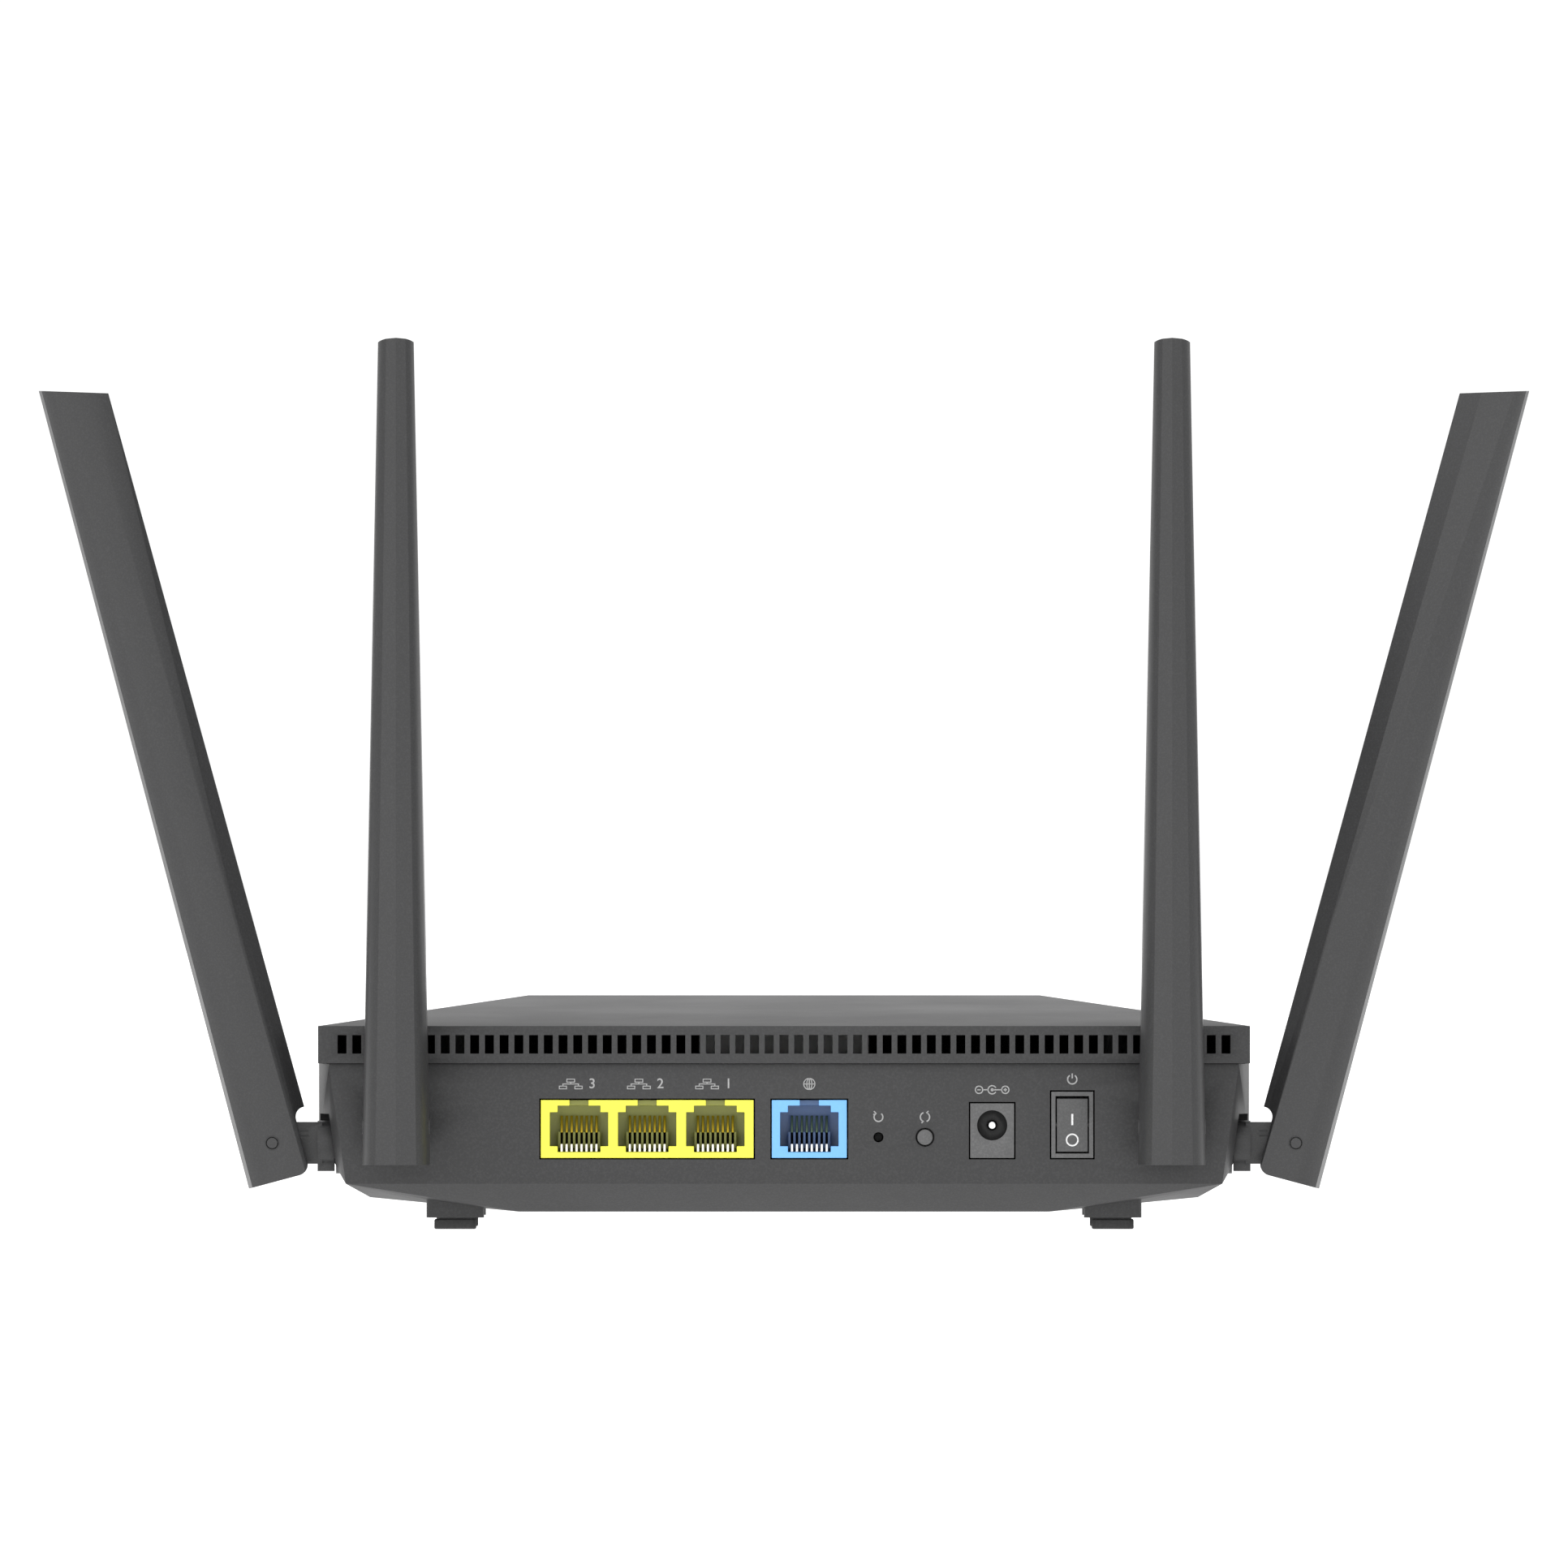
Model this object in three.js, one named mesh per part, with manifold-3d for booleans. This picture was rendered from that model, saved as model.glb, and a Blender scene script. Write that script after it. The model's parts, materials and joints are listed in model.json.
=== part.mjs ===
// A desktop wireless router: a faceted two-part case, four swivelling and folding antennas, a row of sockets,
// buttons and a rocker switch on its back, and the main board that they belong to.
// Millimetres, +Z up. The front faces -Y and the sockets face +Y; left and right are as seen from the front,
// so right is +X. The origin is at the bottom centre of the whole router, antennas included.
import * as THREE from "three";
import { ConvexGeometry } from "three/addons/geometries/ConvexGeometry.js";
import { mergeVertices } from "three/addons/utils/BufferGeometryUtils.js";
import Module from "manifold-3d";

const wasm = await Module();
wasm.setup();

// ---------------------------------------------------------------- driving dimensions

// Case
const CASE_HALF_WIDTH = 95.7;
const BODY_DEPTH = 129; // back panel to nose
const WALL = 2;
const SEAM_GAP = 0.3; // between the cover's edge and the case's edge
const SEAM_Z = 34.3; // lower edge of the top cover
const COVER_BACK_Z = 41.8; // top of the cover at its back edge
const RIDGE_Z = 47.7; // highest line of the cover, near the front
const RIDGE_HALF_WIDTH = 53;
const RIDGE_TO_NOSE = 13;
const NOSE_HALF_WIDTH = 60;
const NOSE_TOP_Z = 37;
const NOSE_LOW_Z = 29;
const NOSE_TAPER = 51; // the sides run straight up to this far from the nose
const SIDE_TOP_Z = 38.5; // top of the side at its front end
const SIDE_LOW_Z = 18.9; // lower edge of the upright side walls
const COVER_OVERHANG = 1.2; // cover's back band past the back panel
const PANEL_TOP_INSET = 2.3; // back panel's upper corners, in from the case's widest
const PANEL_LOW_INSET = 5.7;
const PANEL_LOW_Z = 9.4;
const CORNER_DEPTH = 26; // the sides widen from the back panel over this depth
const KEEL_Z = 3.6; // flat middle of the underside
const KEEL_HALF_WIDTH = 54.5;
const KEEL_FRONT_HALF_WIDTH = 47.5;
const KEEL_BACK_DEPTH = 9; // the facet under the back panel leans in by this much
const KEEL_TO_NOSE = 17;
const BILGE_INSET = 10.5; // outer edge of the sloping parts of the underside
const BILGE_Z = 6.4;
const BILGE_BACK_DEPTH = 32;
const BILGE_FRONT_INSET = 18.7;
const BILGE_TO_NOSE = 31;

// Vents
const BACK_VENTS = 61;
const BACK_VENT_PITCH = 3.025;
const BACK_VENT_WIDTH = 1.85;
const BACK_VENT_HEIGHT = 3.85;
const SIDE_VENTS = 9;
const SIDE_VENT_PITCH = 4.2;
const SIDE_VENT_WIDTH = 1.8;
const SIDE_VENT_HEIGHT = 6;
const SIDE_VENT_DROP = 2.5; // below the case's upper edge
const SIDE_VENT_START = 16; // in front of the side antennas
const UNDER_VENTS = 11;
const UNDER_VENT_PITCH = 5;
const UNDER_VENT_WIDTH = 2;
const UNDER_VENT_LENGTH = 26;
const UNDER_VENT_DEPTH = 66; // middle of the row, from the back panel

// Feet and screws
const FOOT_INSET = 28.1;
const REAR_FOOT_DEPTH = 18; // from the back panel
const FRONT_FOOT_TO_NOSE = 35;
const RUBBER_SIZE = 8.6;
const RUBBER_HEIGHT = 2.05;
const FOOT_CORNER = 1.2;
const FOOT_BOSS_SIZE = 11.8;
const FIT_GAP = 0.3; // between pieces that touch
const SCREW_HEAD_RADIUS = 2.7;
const SCREW_HEAD_HEIGHT = 1.8;
const SCREW_SHANK_RADIUS = 1.3;
const SCREW_LENGTH = 14; // under the head
const SCREW_COVER = 1.2; // plastic between the screw head's seat and the foot pad
const POST_RADIUS = 3;
const SCREW_CLEARANCE = 0.3;

// Antennas, in a frame at the fold pin: +Z along the antenna, +Y away from the case, X along the pin
const REAR_ANTENNA_INSET = 16.1; // in from the case's widest
const REAR_PIVOT_Z = 21.2;
const SIDE_ANTENNA_DEPTH = 16; // from the back panel
const SIDE_PIVOT_Z = 17.7;
const SIDE_SEAT_INSET = 3.6; // flat face that the side antennas turn on
const POCKET_TOP_Z = 23.7;
const POCKET_REACH = 6.8; // to the pocket's front and back walls, from the side antenna's swivel
const SIDE_SPLAY = THREE.MathUtils.degToRad(15);
const ANTENNA_BELOW_PIN = 7.85;
const ANTENNA_ABOVE_PIN = 162;
const ANTENNA_TOP_DROP = 0.305; // the slanted top falls by this much for each millimetre towards the case
const PIN_TO_RIDGE = 7.1; // at the bottom
const RIDGE_LEAN = 0.7; // the ridge leans this much towards the case at the top
const ANTENNA_WIDTH_LOW = 15.4;
const ANTENNA_WIDTH_TOP = 13.7;
const ANTENNA_HALF_LOW = 7;
const ANTENNA_HALF_TOP = 3.67;
const CREASE_HEIGHT = 46; // where the two long side creases part
const ANTENNA_SHELL = 1.3;
const CHEEK_WIDTH = 13; // ridge to the inner edge of the two cheeks around the pin
const CHEEK_CORNER = 2.2;
const NOTCH_RADIUS = 2.1;
const NOTCH_HEIGHT = 3.4; // above the pin
const SLOT_TOP = 6.2; // top of the tongue's slot, above the pin
const TONGUE_HALF_THICKNESS = 3;
const TONGUE_RADIUS = 4.3;
const RUNNING_GAP = 0.3; // around the tongue, the neck and the pin
const PIN_RADIUS = 1.3;
const PIN_TO_COLLAR = 9.3;
const COLLAR_LENGTH = 3.5;
const COLLAR_RADIUS = 4.6;
const COLLAR_LIP_REACH = 5.8;
const COLLAR_LIP_WIDTH = 4.8;
const SEAT_RADIUS = 6.3;
const NECK_RADIUS = 3.2;
const NECK_GROOVE_RADIUS = 2.5;
const STRIP_WIDTH = 4.8;
const STRIP_THICKNESS = 0.8;
const LEAD_RADIUS = 0.6;
const LEAD_BORE_RADIUS = 1.1;
const CLIP_THICKNESS = 1;
const CLIP_RADIUS = 4.6;
const NECK_END_LENGTH = 1.2;

// Sockets and controls on the back panel
const SOCKET_Z = 14.7; // underside of the row of sockets and the switch
const SOCKET_HEIGHT = 11.9;
const SOCKET_DEPTH = 15;
const PORT_PITCH = 14;
const PORT_WIDTH = 12;
const PORT_HEIGHT = 7;
const PORT_FLOOR = 2.4; // above the socket's underside
const PORT_DEPTH = 13;
const SHOULDER_WIDTH = 8.8;
const SHOULDER_HEIGHT = 1.35;
const LATCH_WIDTH = 3.9;
const COMB_DEPTH = 1.2; // the contacts' trough under each port
const LAN_PORTS = 3;
const LAN_CENTRE_X = 28.1;
const LAN_SIDE = 1.85; // housing beside the outermost ports
const WAN_CENTRE_X = -5.2;
const WAN_WIDTH = 15.4;
const CONTACTS = 8;
const CONTACT_PITCH = 1.02;
const CONTACT_WIDTH = 0.45;
const CUTOUT_GAP = 0.3; // between a socket and its hole in the back panel
const DC_CENTRE_X = -42.75;
const DC_WIDTH = 9;
const DC_HEIGHT = 11.2;
const DC_DEPTH = 14;
const DC_BORE_RADIUS = 3.1;
const DC_BORE_DEPTH = 10;
const DC_BORE_HEIGHT = 6.7; // above the socket's underside
const DC_PIN_RADIUS = 1;
const SWITCH_CENTRE_X = -59.2;
const SWITCH_WIDTH = 8.6;
const SWITCH_HEIGHT = 13.6;
const SWITCH_DEPTH = 14;
const ROCKER_WIDTH = 6.3;
const ROCKER_REACH = 5.3; // centre to each end
const ROCKER_THROW = THREE.MathUtils.degToRad(8); // each way from level
const ROCKER_FACE = 1.1; // pivot to the middle of its face
const ROCKER_GAP = 0.3;
const TRUNNION_RADIUS = 0.5;
const TRUNNION_LENGTH = 0.6;
const BUTTON_HEIGHT = 4.25; // above the underside of the row
const PAIRING_X = -28.95;
const PAIRING_RADIUS = 1.6;
const PAIRING_HOLE_RADIUS = 1.95;
const PAIRING_PROUD = 0.6;
const BUTTON_LENGTH = 6;
const BUTTON_FLANGE_RADIUS = 2.6;
const RESET_X = -19.4;
const RESET_HOLE_RADIUS = 1.05;
const RESET_RADIUS = 0.8;
const RESET_RECESS = 2.6; // tip behind the back panel's inner face
const KEY_TRAVEL = 0.8;
const KEY_SIZE = 6; // the square switches behind the two buttons
const KEY_HEIGHT = 3.6;
const PLUNGER_SEAT = 1.2; // how far a button reaches into its switch at rest

// Board
const BOARD_THICKNESS = 1.6;
const BOARD_INSET = 33.7;
const BOARD_BACK = 3.4;
const BOARD_TO_NOSE = 25;
const BACK_STANDOFF_PLACE = [44, 36]; // x and depth
const FRONT_STANDOFF_PLACE = [40, 96];
const BOARD_SCREW_PLACE = [57, 62];
const BOARD_SCREW_BITE = 4; // into its post
const CHIP_HEIGHT = 1.4;
const LED_COUNT = 5;
const LED_PITCH = 8;
const LED_WINDOW = [3.2, 1.3];
const GUIDE_THICKNESS = 1.8;

// ---------------------------------------------------------------- derived places

const SLEEVE_REACH = FIT_GAP + COLLAR_LENGTH + PIN_TO_COLLAR; // seat to fold pin
const PANEL_Y = (BODY_DEPTH - SLEEVE_REACH - PIN_TO_RIDGE) / 2; // outer face of the back panel
const at = (depth) => PANEL_Y - depth; // Y of a place this far in front of the back panel
const CASE_TOP_Z = SEAM_Z - SEAM_GAP;
const SIDE_LENGTH = BODY_DEPTH - NOSE_TAPER;
const PANEL_TOP_HALF_WIDTH = CASE_HALF_WIDTH - PANEL_TOP_INSET;
const PANEL_LOW_HALF_WIDTH = CASE_HALF_WIDTH - PANEL_LOW_INSET;
const KEEL_FRONT_DEPTH = BODY_DEPTH - KEEL_TO_NOSE;
const BILGE_HALF_WIDTH = CASE_HALF_WIDTH - BILGE_INSET;
const BILGE_FRONT_HALF_WIDTH = CASE_HALF_WIDTH - BILGE_FRONT_INSET;
const BILGE_FRONT_DEPTH = BODY_DEPTH - BILGE_TO_NOSE;
const FOOT_X = CASE_HALF_WIDTH - FOOT_INSET;
const FOOT_DEPTHS = { rear: REAR_FOOT_DEPTH, front: BODY_DEPTH - FRONT_FOOT_TO_NOSE };
const REAR_ANTENNA_X = CASE_HALF_WIDTH - REAR_ANTENNA_INSET;
const SIDE_SEAT_X = CASE_HALF_WIDTH - SIDE_SEAT_INSET;
const BOARD_HALF_WIDTH = CASE_HALF_WIDTH - BOARD_INSET;
const BOARD_FRONT = BODY_DEPTH - BOARD_TO_NOSE;
const BOARD_TOP_Z = SOCKET_Z - FIT_GAP;
const SLOT_HALF_WIDTH = TONGUE_HALF_THICKNESS + RUNNING_GAP;
const NECK_HOLE_RADIUS = NECK_RADIUS + RUNNING_GAP;
const SOCKET_TOP_Z = SOCKET_Z + SOCKET_HEIGHT;
const PORT_LOW_Z = SOCKET_Z + PORT_FLOOR;
const PORT_TOP_Z = PORT_LOW_Z + PORT_HEIGHT;
const LAN_WIDTH = (LAN_PORTS - 1) * PORT_PITCH + PORT_WIDTH + 2 * LAN_SIDE;
const SWITCH_MID_Z = SOCKET_Z + SWITCH_HEIGHT / 2;
const DC_BORE_Z = SOCKET_Z + DC_BORE_HEIGHT;
const BUTTON_Z = SOCKET_Z + BUTTON_HEIGHT;
const BOARD_LOW_Z = BOARD_TOP_Z - BOARD_THICKNESS;
const onBoard = BOARD_TOP_Z + FIT_GAP; // where the things on the board stand
const RIDGE_DEPTH = BODY_DEPTH - RIDGE_TO_NOSE;
const FOOT_BOSS_Z = RUBBER_HEIGHT + FIT_GAP; // underside of the foot pads
const SCREW_BORE_RADIUS = SCREW_SHANK_RADIUS + SCREW_CLEARANCE;
const SCREW_SEAT_Z = FOOT_BOSS_Z + SCREW_HEAD_HEIGHT + SCREW_COVER;
const BOSS_TOP_Z = SCREW_SEAT_Z + 1.5 * WALL;

// ---------------------------------------------------------------- solids

// A closed geometry as a manifold-3d solid.
function solid(geometry) {
  const bare = geometry.index ? geometry.toNonIndexed() : geometry.clone();
  bare.deleteAttribute("normal");
  bare.deleteAttribute("uv");
  const merged = mergeVertices(bare, 1e-4);
  return new wasm.Manifold(
    new wasm.Mesh({
      numProp: 3,
      vertProperties: merged.attributes.position.array,
      triVerts: new Uint32Array(merged.index.array),
    }),
  );
}

const move = (geometry, x, y, z) => solid(geometry.translate(x, y, z));
const span = (middle, width) => [middle - width / 2, middle + width / 2];

// The places of a centred row.
const row = (count, pitch) => [...Array(count).keys()].map((i) => (i - (count - 1) / 2) * pitch);

function box([x0, x1], [y0, y1], [z0, z1]) {
  const made = new THREE.BoxGeometry(Math.abs(x1 - x0), Math.abs(y1 - y0), Math.abs(z1 - z0));
  return move(made, (x0 + x1) / 2, (y0 + y1) / 2, (z0 + z1) / 2);
}

// A cylinder along one axis, from low to high on it, with its centre line at the two other coordinates.
function rod(axis, radius, low, high, a, b, sides = 20) {
  const made = new THREE.CylinderGeometry(radius, radius, Math.abs(high - low), sides);
  const middle = (low + high) / 2;
  if (axis === "x") return move(made.rotateZ(Math.PI / 2), middle, a, b);
  if (axis === "y") return move(made, a, middle, b);
  return move(made.rotateX(Math.PI / 2), a, b, middle);
}

// An outline of [across, up] points, extruded along X between two values. across is along Y.
function slab(shape, x0, x1, curveSegments = 8) {
  const settings = { depth: Math.abs(x1 - x0), bevelEnabled: false, curveSegments };
  const made = new THREE.ExtrudeGeometry(shape, settings);
  const turn = new THREE.Matrix4().makeBasis(
    new THREE.Vector3(0, 1, 0),
    new THREE.Vector3(0, 0, 1),
    new THREE.Vector3(1, 0, 0),
  );
  return move(made.applyMatrix4(turn), Math.min(x0, x1), 0, 0);
}

const outline = (points) => new THREE.Shape(points.map(([a, b]) => new THREE.Vector2(a, b)));

// A square with round corners, extruded along Z.
function pad(size, corner, x, y, z0, z1) {
  const h = size / 2;
  const shape = new THREE.Shape();
  shape.absarc(h - corner, h - corner, corner, 0, Math.PI / 2);
  shape.absarc(corner - h, h - corner, corner, Math.PI / 2, Math.PI);
  shape.absarc(corner - h, corner - h, corner, Math.PI, 1.5 * Math.PI);
  shape.absarc(h - corner, corner - h, corner, 1.5 * Math.PI, 2 * Math.PI);
  const made = new THREE.ExtrudeGeometry(shape, { depth: z1 - z0, bevelEnabled: false, curveSegments: 4 });
  return move(made, x, y, z0);
}

// The convex body around points given as [x, depth, z] for the +X half.
function facetedBody(points) {
  const half = (side) => points.map(([x, depth, z]) => new THREE.Vector3(side * x, at(depth), z));
  return solid(new ConvexGeometry([...half(1), ...half(-1)]));
}

const union = (solids) => solids.reduce((a, b) => a.add(b));
const mirrored = (make) => [1, -1].map((side) => make(side));

// ---------------------------------------------------------------- materials

function paint(color, roughness, metalness = 0) {
  return new THREE.MeshStandardMaterial({ color, roughness, metalness });
}

const CASE_PLASTIC = paint(0x35363a, 0.6);
const ANTENNA_PLASTIC = paint(0x333438, 0.55);
const KNUCKLE_PLASTIC = paint(0x2b2c2f, 0.5);
const RUBBER = paint(0x1c1c1e, 0.9);
const STEEL = paint(0x9da0a4, 0.35, 1);
const LAN_PLASTIC = paint(0xf2e832, 0.45);
const WAN_PLASTIC = paint(0x5fb4f0, 0.45);
const GOLD = paint(0xd9a93a, 0.3, 1);
const CONTROL_PLASTIC = paint(0x6b6c6f, 0.5);
const BLACK_PLASTIC = paint(0x1a1a1c, 0.5);
const BOARD_GREEN = paint(0x14532d, 0.5);
const ALUMINIUM = paint(0xb8babd, 0.4, 1);
const CLEAR = paint(0xdfe6ea, 0.2);
const LEAD_GREY = paint(0x55565a, 0.6);

const router = new THREE.Group();

// Adds a solid to a group as a named mesh.
function piece(name, made, material, group = router) {
  const mesh = made.getMesh();
  const geometry = new THREE.BufferGeometry();
  geometry.setAttribute("position", new THREE.BufferAttribute(mesh.vertProperties, 3));
  geometry.setIndex(new THREE.BufferAttribute(mesh.triVerts, 1));
  geometry.computeVertexNormals();
  const added = new THREE.Mesh(geometry, material);
  added.name = name;
  group.add(added);
}

// ---------------------------------------------------------------- top cover

const PROBE = 1; // how far a cutting solid runs past the surface that it opens

// The cover's outside, or its inside when inset by the wall and opened downwards.
function coverBody(inset) {
  const low = inset ? SEAM_Z - PROBE : SEAM_Z;
  const back = inset - COVER_OVERHANG;
  return facetedBody([
    [CASE_HALF_WIDTH - inset, back, low],
    [CASE_HALF_WIDTH - inset, back, COVER_BACK_Z - inset],
    [CASE_HALF_WIDTH - inset, SIDE_LENGTH - inset / 2, low],
    [CASE_HALF_WIDTH - inset, SIDE_LENGTH - inset / 2, SIDE_TOP_Z - inset],
    [NOSE_HALF_WIDTH - inset / 2, BODY_DEPTH - inset, low],
    [NOSE_HALF_WIDTH - inset / 2, BODY_DEPTH - inset, NOSE_TOP_Z - inset],
    [RIDGE_HALF_WIDTH - inset / 2, RIDGE_DEPTH - inset / 2, RIDGE_Z - inset],
  ]);
}

function backVents() {
  const through = [at(WALL), at(-COVER_OVERHANG - PROBE)];
  const height = span((SEAM_Z + COVER_BACK_Z) / 2, BACK_VENT_HEIGHT);
  return union(row(BACK_VENTS, BACK_VENT_PITCH).map((x) => box(span(x, BACK_VENT_WIDTH), through, height)));
}

// The row of indicator windows, square to the cover's front facet. grow opens them around the light guide.
function ledWindows(grow, inside, outside) {
  const tilt = Math.atan2(RIDGE_TO_NOSE, RIDGE_Z - NOSE_TOP_Z);
  const [width, height] = LED_WINDOW.map((size) => size + 2 * grow);
  return union(
    row(LED_COUNT, LED_PITCH).map((x) => {
      const window = new THREE.BoxGeometry(width, height, outside - inside);
      window.translate(x, 0, (outside + inside) / 2);
      window.rotateX(Math.PI / 2 - tilt);
      return move(window, 0, at(RIDGE_DEPTH + RIDGE_TO_NOSE / 2), (RIDGE_Z + NOSE_TOP_Z) / 2);
    }),
  );
}

const eachFoot = Object.entries(FOOT_DEPTHS).flatMap(([end, depth]) =>
  mirrored((side) => ({ name: `${end}_${side > 0 ? "right" : "left"}`, x: side * FOOT_X, y: at(depth) })),
);

function topCover() {
  const outer = coverBody(0);
  const posts = union(
    eachFoot.map(({ x, y }) => rod("z", POST_RADIUS, BOSS_TOP_Z + FIT_GAP, RIDGE_Z, x, y, 16)),
  );
  const bores = union(
    eachFoot.map(({ x, y }) => rod("z", SCREW_BORE_RADIUS, 0, SCREW_SEAT_Z + SCREW_LENGTH + PROBE, x, y, 12)),
  );
  const above = box([-200, 200], [-200, 200], [SEAM_Z, RIDGE_Z + PROBE]);
  const hanging = posts.subtract(above).add(posts.intersect(outer));
  const guideGap = ledWindows(FIT_GAP / 2, -6, 2);
  const shell = outer.subtract(coverBody(WALL)).add(hanging);
  return shell.subtract(bores).subtract(backVents()).subtract(guideGap);
}

// ---------------------------------------------------------------- bottom case

function caseBody(inset) {
  const top = inset ? CASE_TOP_Z + PROBE : CASE_TOP_Z;
  return facetedBody([
    [PANEL_TOP_HALF_WIDTH - inset, inset, top],
    [CASE_HALF_WIDTH - inset, CORNER_DEPTH + inset / 2, top],
    [CASE_HALF_WIDTH - inset, SIDE_LENGTH - inset / 2, top],
    [NOSE_HALF_WIDTH - inset / 2, BODY_DEPTH - inset, top],
    [PANEL_LOW_HALF_WIDTH - inset, inset, PANEL_LOW_Z + inset / 2],
    [CASE_HALF_WIDTH - inset, CORNER_DEPTH + inset / 2, SIDE_LOW_Z + inset / 2],
    [CASE_HALF_WIDTH - inset, SIDE_LENGTH - inset / 2, SIDE_LOW_Z + inset / 2],
    [NOSE_HALF_WIDTH - inset / 2, BODY_DEPTH - inset, NOSE_LOW_Z],
    [KEEL_HALF_WIDTH, KEEL_BACK_DEPTH + inset / 2, KEEL_Z + inset],
    [KEEL_FRONT_HALF_WIDTH, KEEL_FRONT_DEPTH - inset / 2, KEEL_Z + inset],
    [BILGE_HALF_WIDTH - inset, BILGE_BACK_DEPTH, BILGE_Z + inset],
    [BILGE_FRONT_HALF_WIDTH - inset, BILGE_FRONT_DEPTH - inset / 2, BILGE_Z + inset],
  ]);
}

// The holes in the back panel for everything that shows through it.
function panelHoles() {
  const through = [at(WALL + PROBE), at(-PROBE)];
  const hole = (x, width, z0, z1) =>
    box(span(x, width + 2 * CUTOUT_GAP), through, [z0 - CUTOUT_GAP, z1 + CUTOUT_GAP]);
  return union([
    hole(LAN_CENTRE_X, LAN_WIDTH, SOCKET_Z, SOCKET_TOP_Z),
    hole(WAN_CENTRE_X, WAN_WIDTH, SOCKET_Z, SOCKET_TOP_Z),
    hole(DC_CENTRE_X, DC_WIDTH, SOCKET_Z, SOCKET_Z + DC_HEIGHT),
    hole(SWITCH_CENTRE_X, SWITCH_WIDTH, SOCKET_Z, SOCKET_Z + SWITCH_HEIGHT),
    rod("y", PAIRING_HOLE_RADIUS, ...through, PAIRING_X, BUTTON_Z),
    rod("y", RESET_HOLE_RADIUS, ...through, RESET_X, BUTTON_Z, 16),
    ...mirrored((side) => rod("y", NECK_HOLE_RADIUS, ...through, side * REAR_ANTENNA_X, REAR_PIVOT_Z)),
  ]);
}

// Each side antenna turns on a round seat in a square pocket that is open to the side and the underside.
// grow adds the pocket's own walls.
function sidePocket(side, grow = 0) {
  const across = [side * (SIDE_SEAT_X - WALL / 2 - grow), side * (CASE_HALF_WIDTH + PROBE)];
  const along = span(at(SIDE_ANTENNA_DEPTH), 2 * (POCKET_REACH + grow));
  return box(across, along, [KEEL_Z, POCKET_TOP_Z + grow]);
}

const SEAT_THICKNESS = 2 * WALL;

function sideSeat(side) {
  const inner = SIDE_SEAT_X - SEAT_THICKNESS;
  return rod("x", SEAT_RADIUS, side * inner, side * SIDE_SEAT_X, at(SIDE_ANTENNA_DEPTH), SIDE_PIVOT_Z);
}

function sideNeckHole(side) {
  const y = at(SIDE_ANTENNA_DEPTH);
  const inner = SIDE_SEAT_X - SEAT_THICKNESS - PROBE;
  return rod("x", NECK_HOLE_RADIUS, side * inner, side * (SIDE_SEAT_X + PROBE), y, SIDE_PIVOT_Z);
}

function sideVents(side) {
  const first = SIDE_ANTENNA_DEPTH + SIDE_VENT_START;
  const top = CASE_TOP_Z - SIDE_VENT_DROP;
  return union(
    [...Array(SIDE_VENTS).keys()].map((i) => {
      const through = [side * (CASE_HALF_WIDTH - 2 * WALL), side * (CASE_HALF_WIDTH + PROBE)];
      const along = span(at(first + i * SIDE_VENT_PITCH), SIDE_VENT_WIDTH);
      return box(through, along, [top - SIDE_VENT_HEIGHT, top]);
    }),
  );
}

function underVents() {
  const along = span(at(UNDER_VENT_DEPTH), UNDER_VENT_LENGTH);
  const through = [KEEL_Z - PROBE, KEEL_Z + WALL + PROBE];
  return union(row(UNDER_VENTS, UNDER_VENT_PITCH).map((x) => box(span(x, UNDER_VENT_WIDTH), along, through)));
}

// The board's supports, as [x, depth]. The middle pair takes screws.
const pair = ([x, depth]) => mirrored((side) => [side * x, depth]);
const BOARD_SCREWS = pair(BOARD_SCREW_PLACE);
const STANDOFFS = [...pair(BACK_STANDOFF_PLACE), ...pair(FRONT_STANDOFF_PLACE), ...BOARD_SCREWS];

function bottomCase() {
  const pads = union(
    eachFoot.map(({ x, y }) => pad(FOOT_BOSS_SIZE, FOOT_CORNER, x, y, FOOT_BOSS_Z, BOSS_TOP_Z)),
  );
  const heads = union(
    eachFoot.map(({ x, y }) => rod("z", SCREW_HEAD_RADIUS + SCREW_CLEARANCE, 0, SCREW_SEAT_Z, x, y, 16)),
  );
  const shanks = union(
    eachFoot.map(({ x, y }) => rod("z", SCREW_BORE_RADIUS, 0, CASE_TOP_Z, x, y, 12)),
  );
  const floor = KEEL_Z + WALL / 2;
  const standoffs = union(
    STANDOFFS.map(([x, depth]) => rod("z", POST_RADIUS, floor, BOARD_LOW_Z - FIT_GAP, x, at(depth), 12)),
  );
  const boreEnd = BOARD_LOW_Z - BOARD_SCREW_BITE - PROBE;
  const boardScrewBores = union(
    BOARD_SCREWS.map(([x, depth]) => rod("z", SCREW_BORE_RADIUS, boreEnd, CASE_TOP_Z, x, at(depth), 12)),
  );
  const seats = union(mirrored(sideSeat));
  const inside = caseBody(WALL).subtract(union(mirrored((side) => sidePocket(side, WALL))));
  return caseBody(0)
    .subtract(inside)
    .subtract(union(mirrored((side) => sidePocket(side))))
    .add(seats)
    .add(pads)
    .add(standoffs)
    .subtract(union(mirrored(sideNeckHole)))
    .subtract(panelHoles())
    .subtract(heads)
    .subtract(shanks)
    .subtract(boardScrewBores)
    .subtract(union(mirrored(sideVents)))
    .subtract(underVents());
}

piece("top_cover", topCover(), CASE_PLASTIC);
piece("bottom_case", bottomCase(), CASE_PLASTIC);

// ---------------------------------------------------------------- feet and screws

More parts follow.
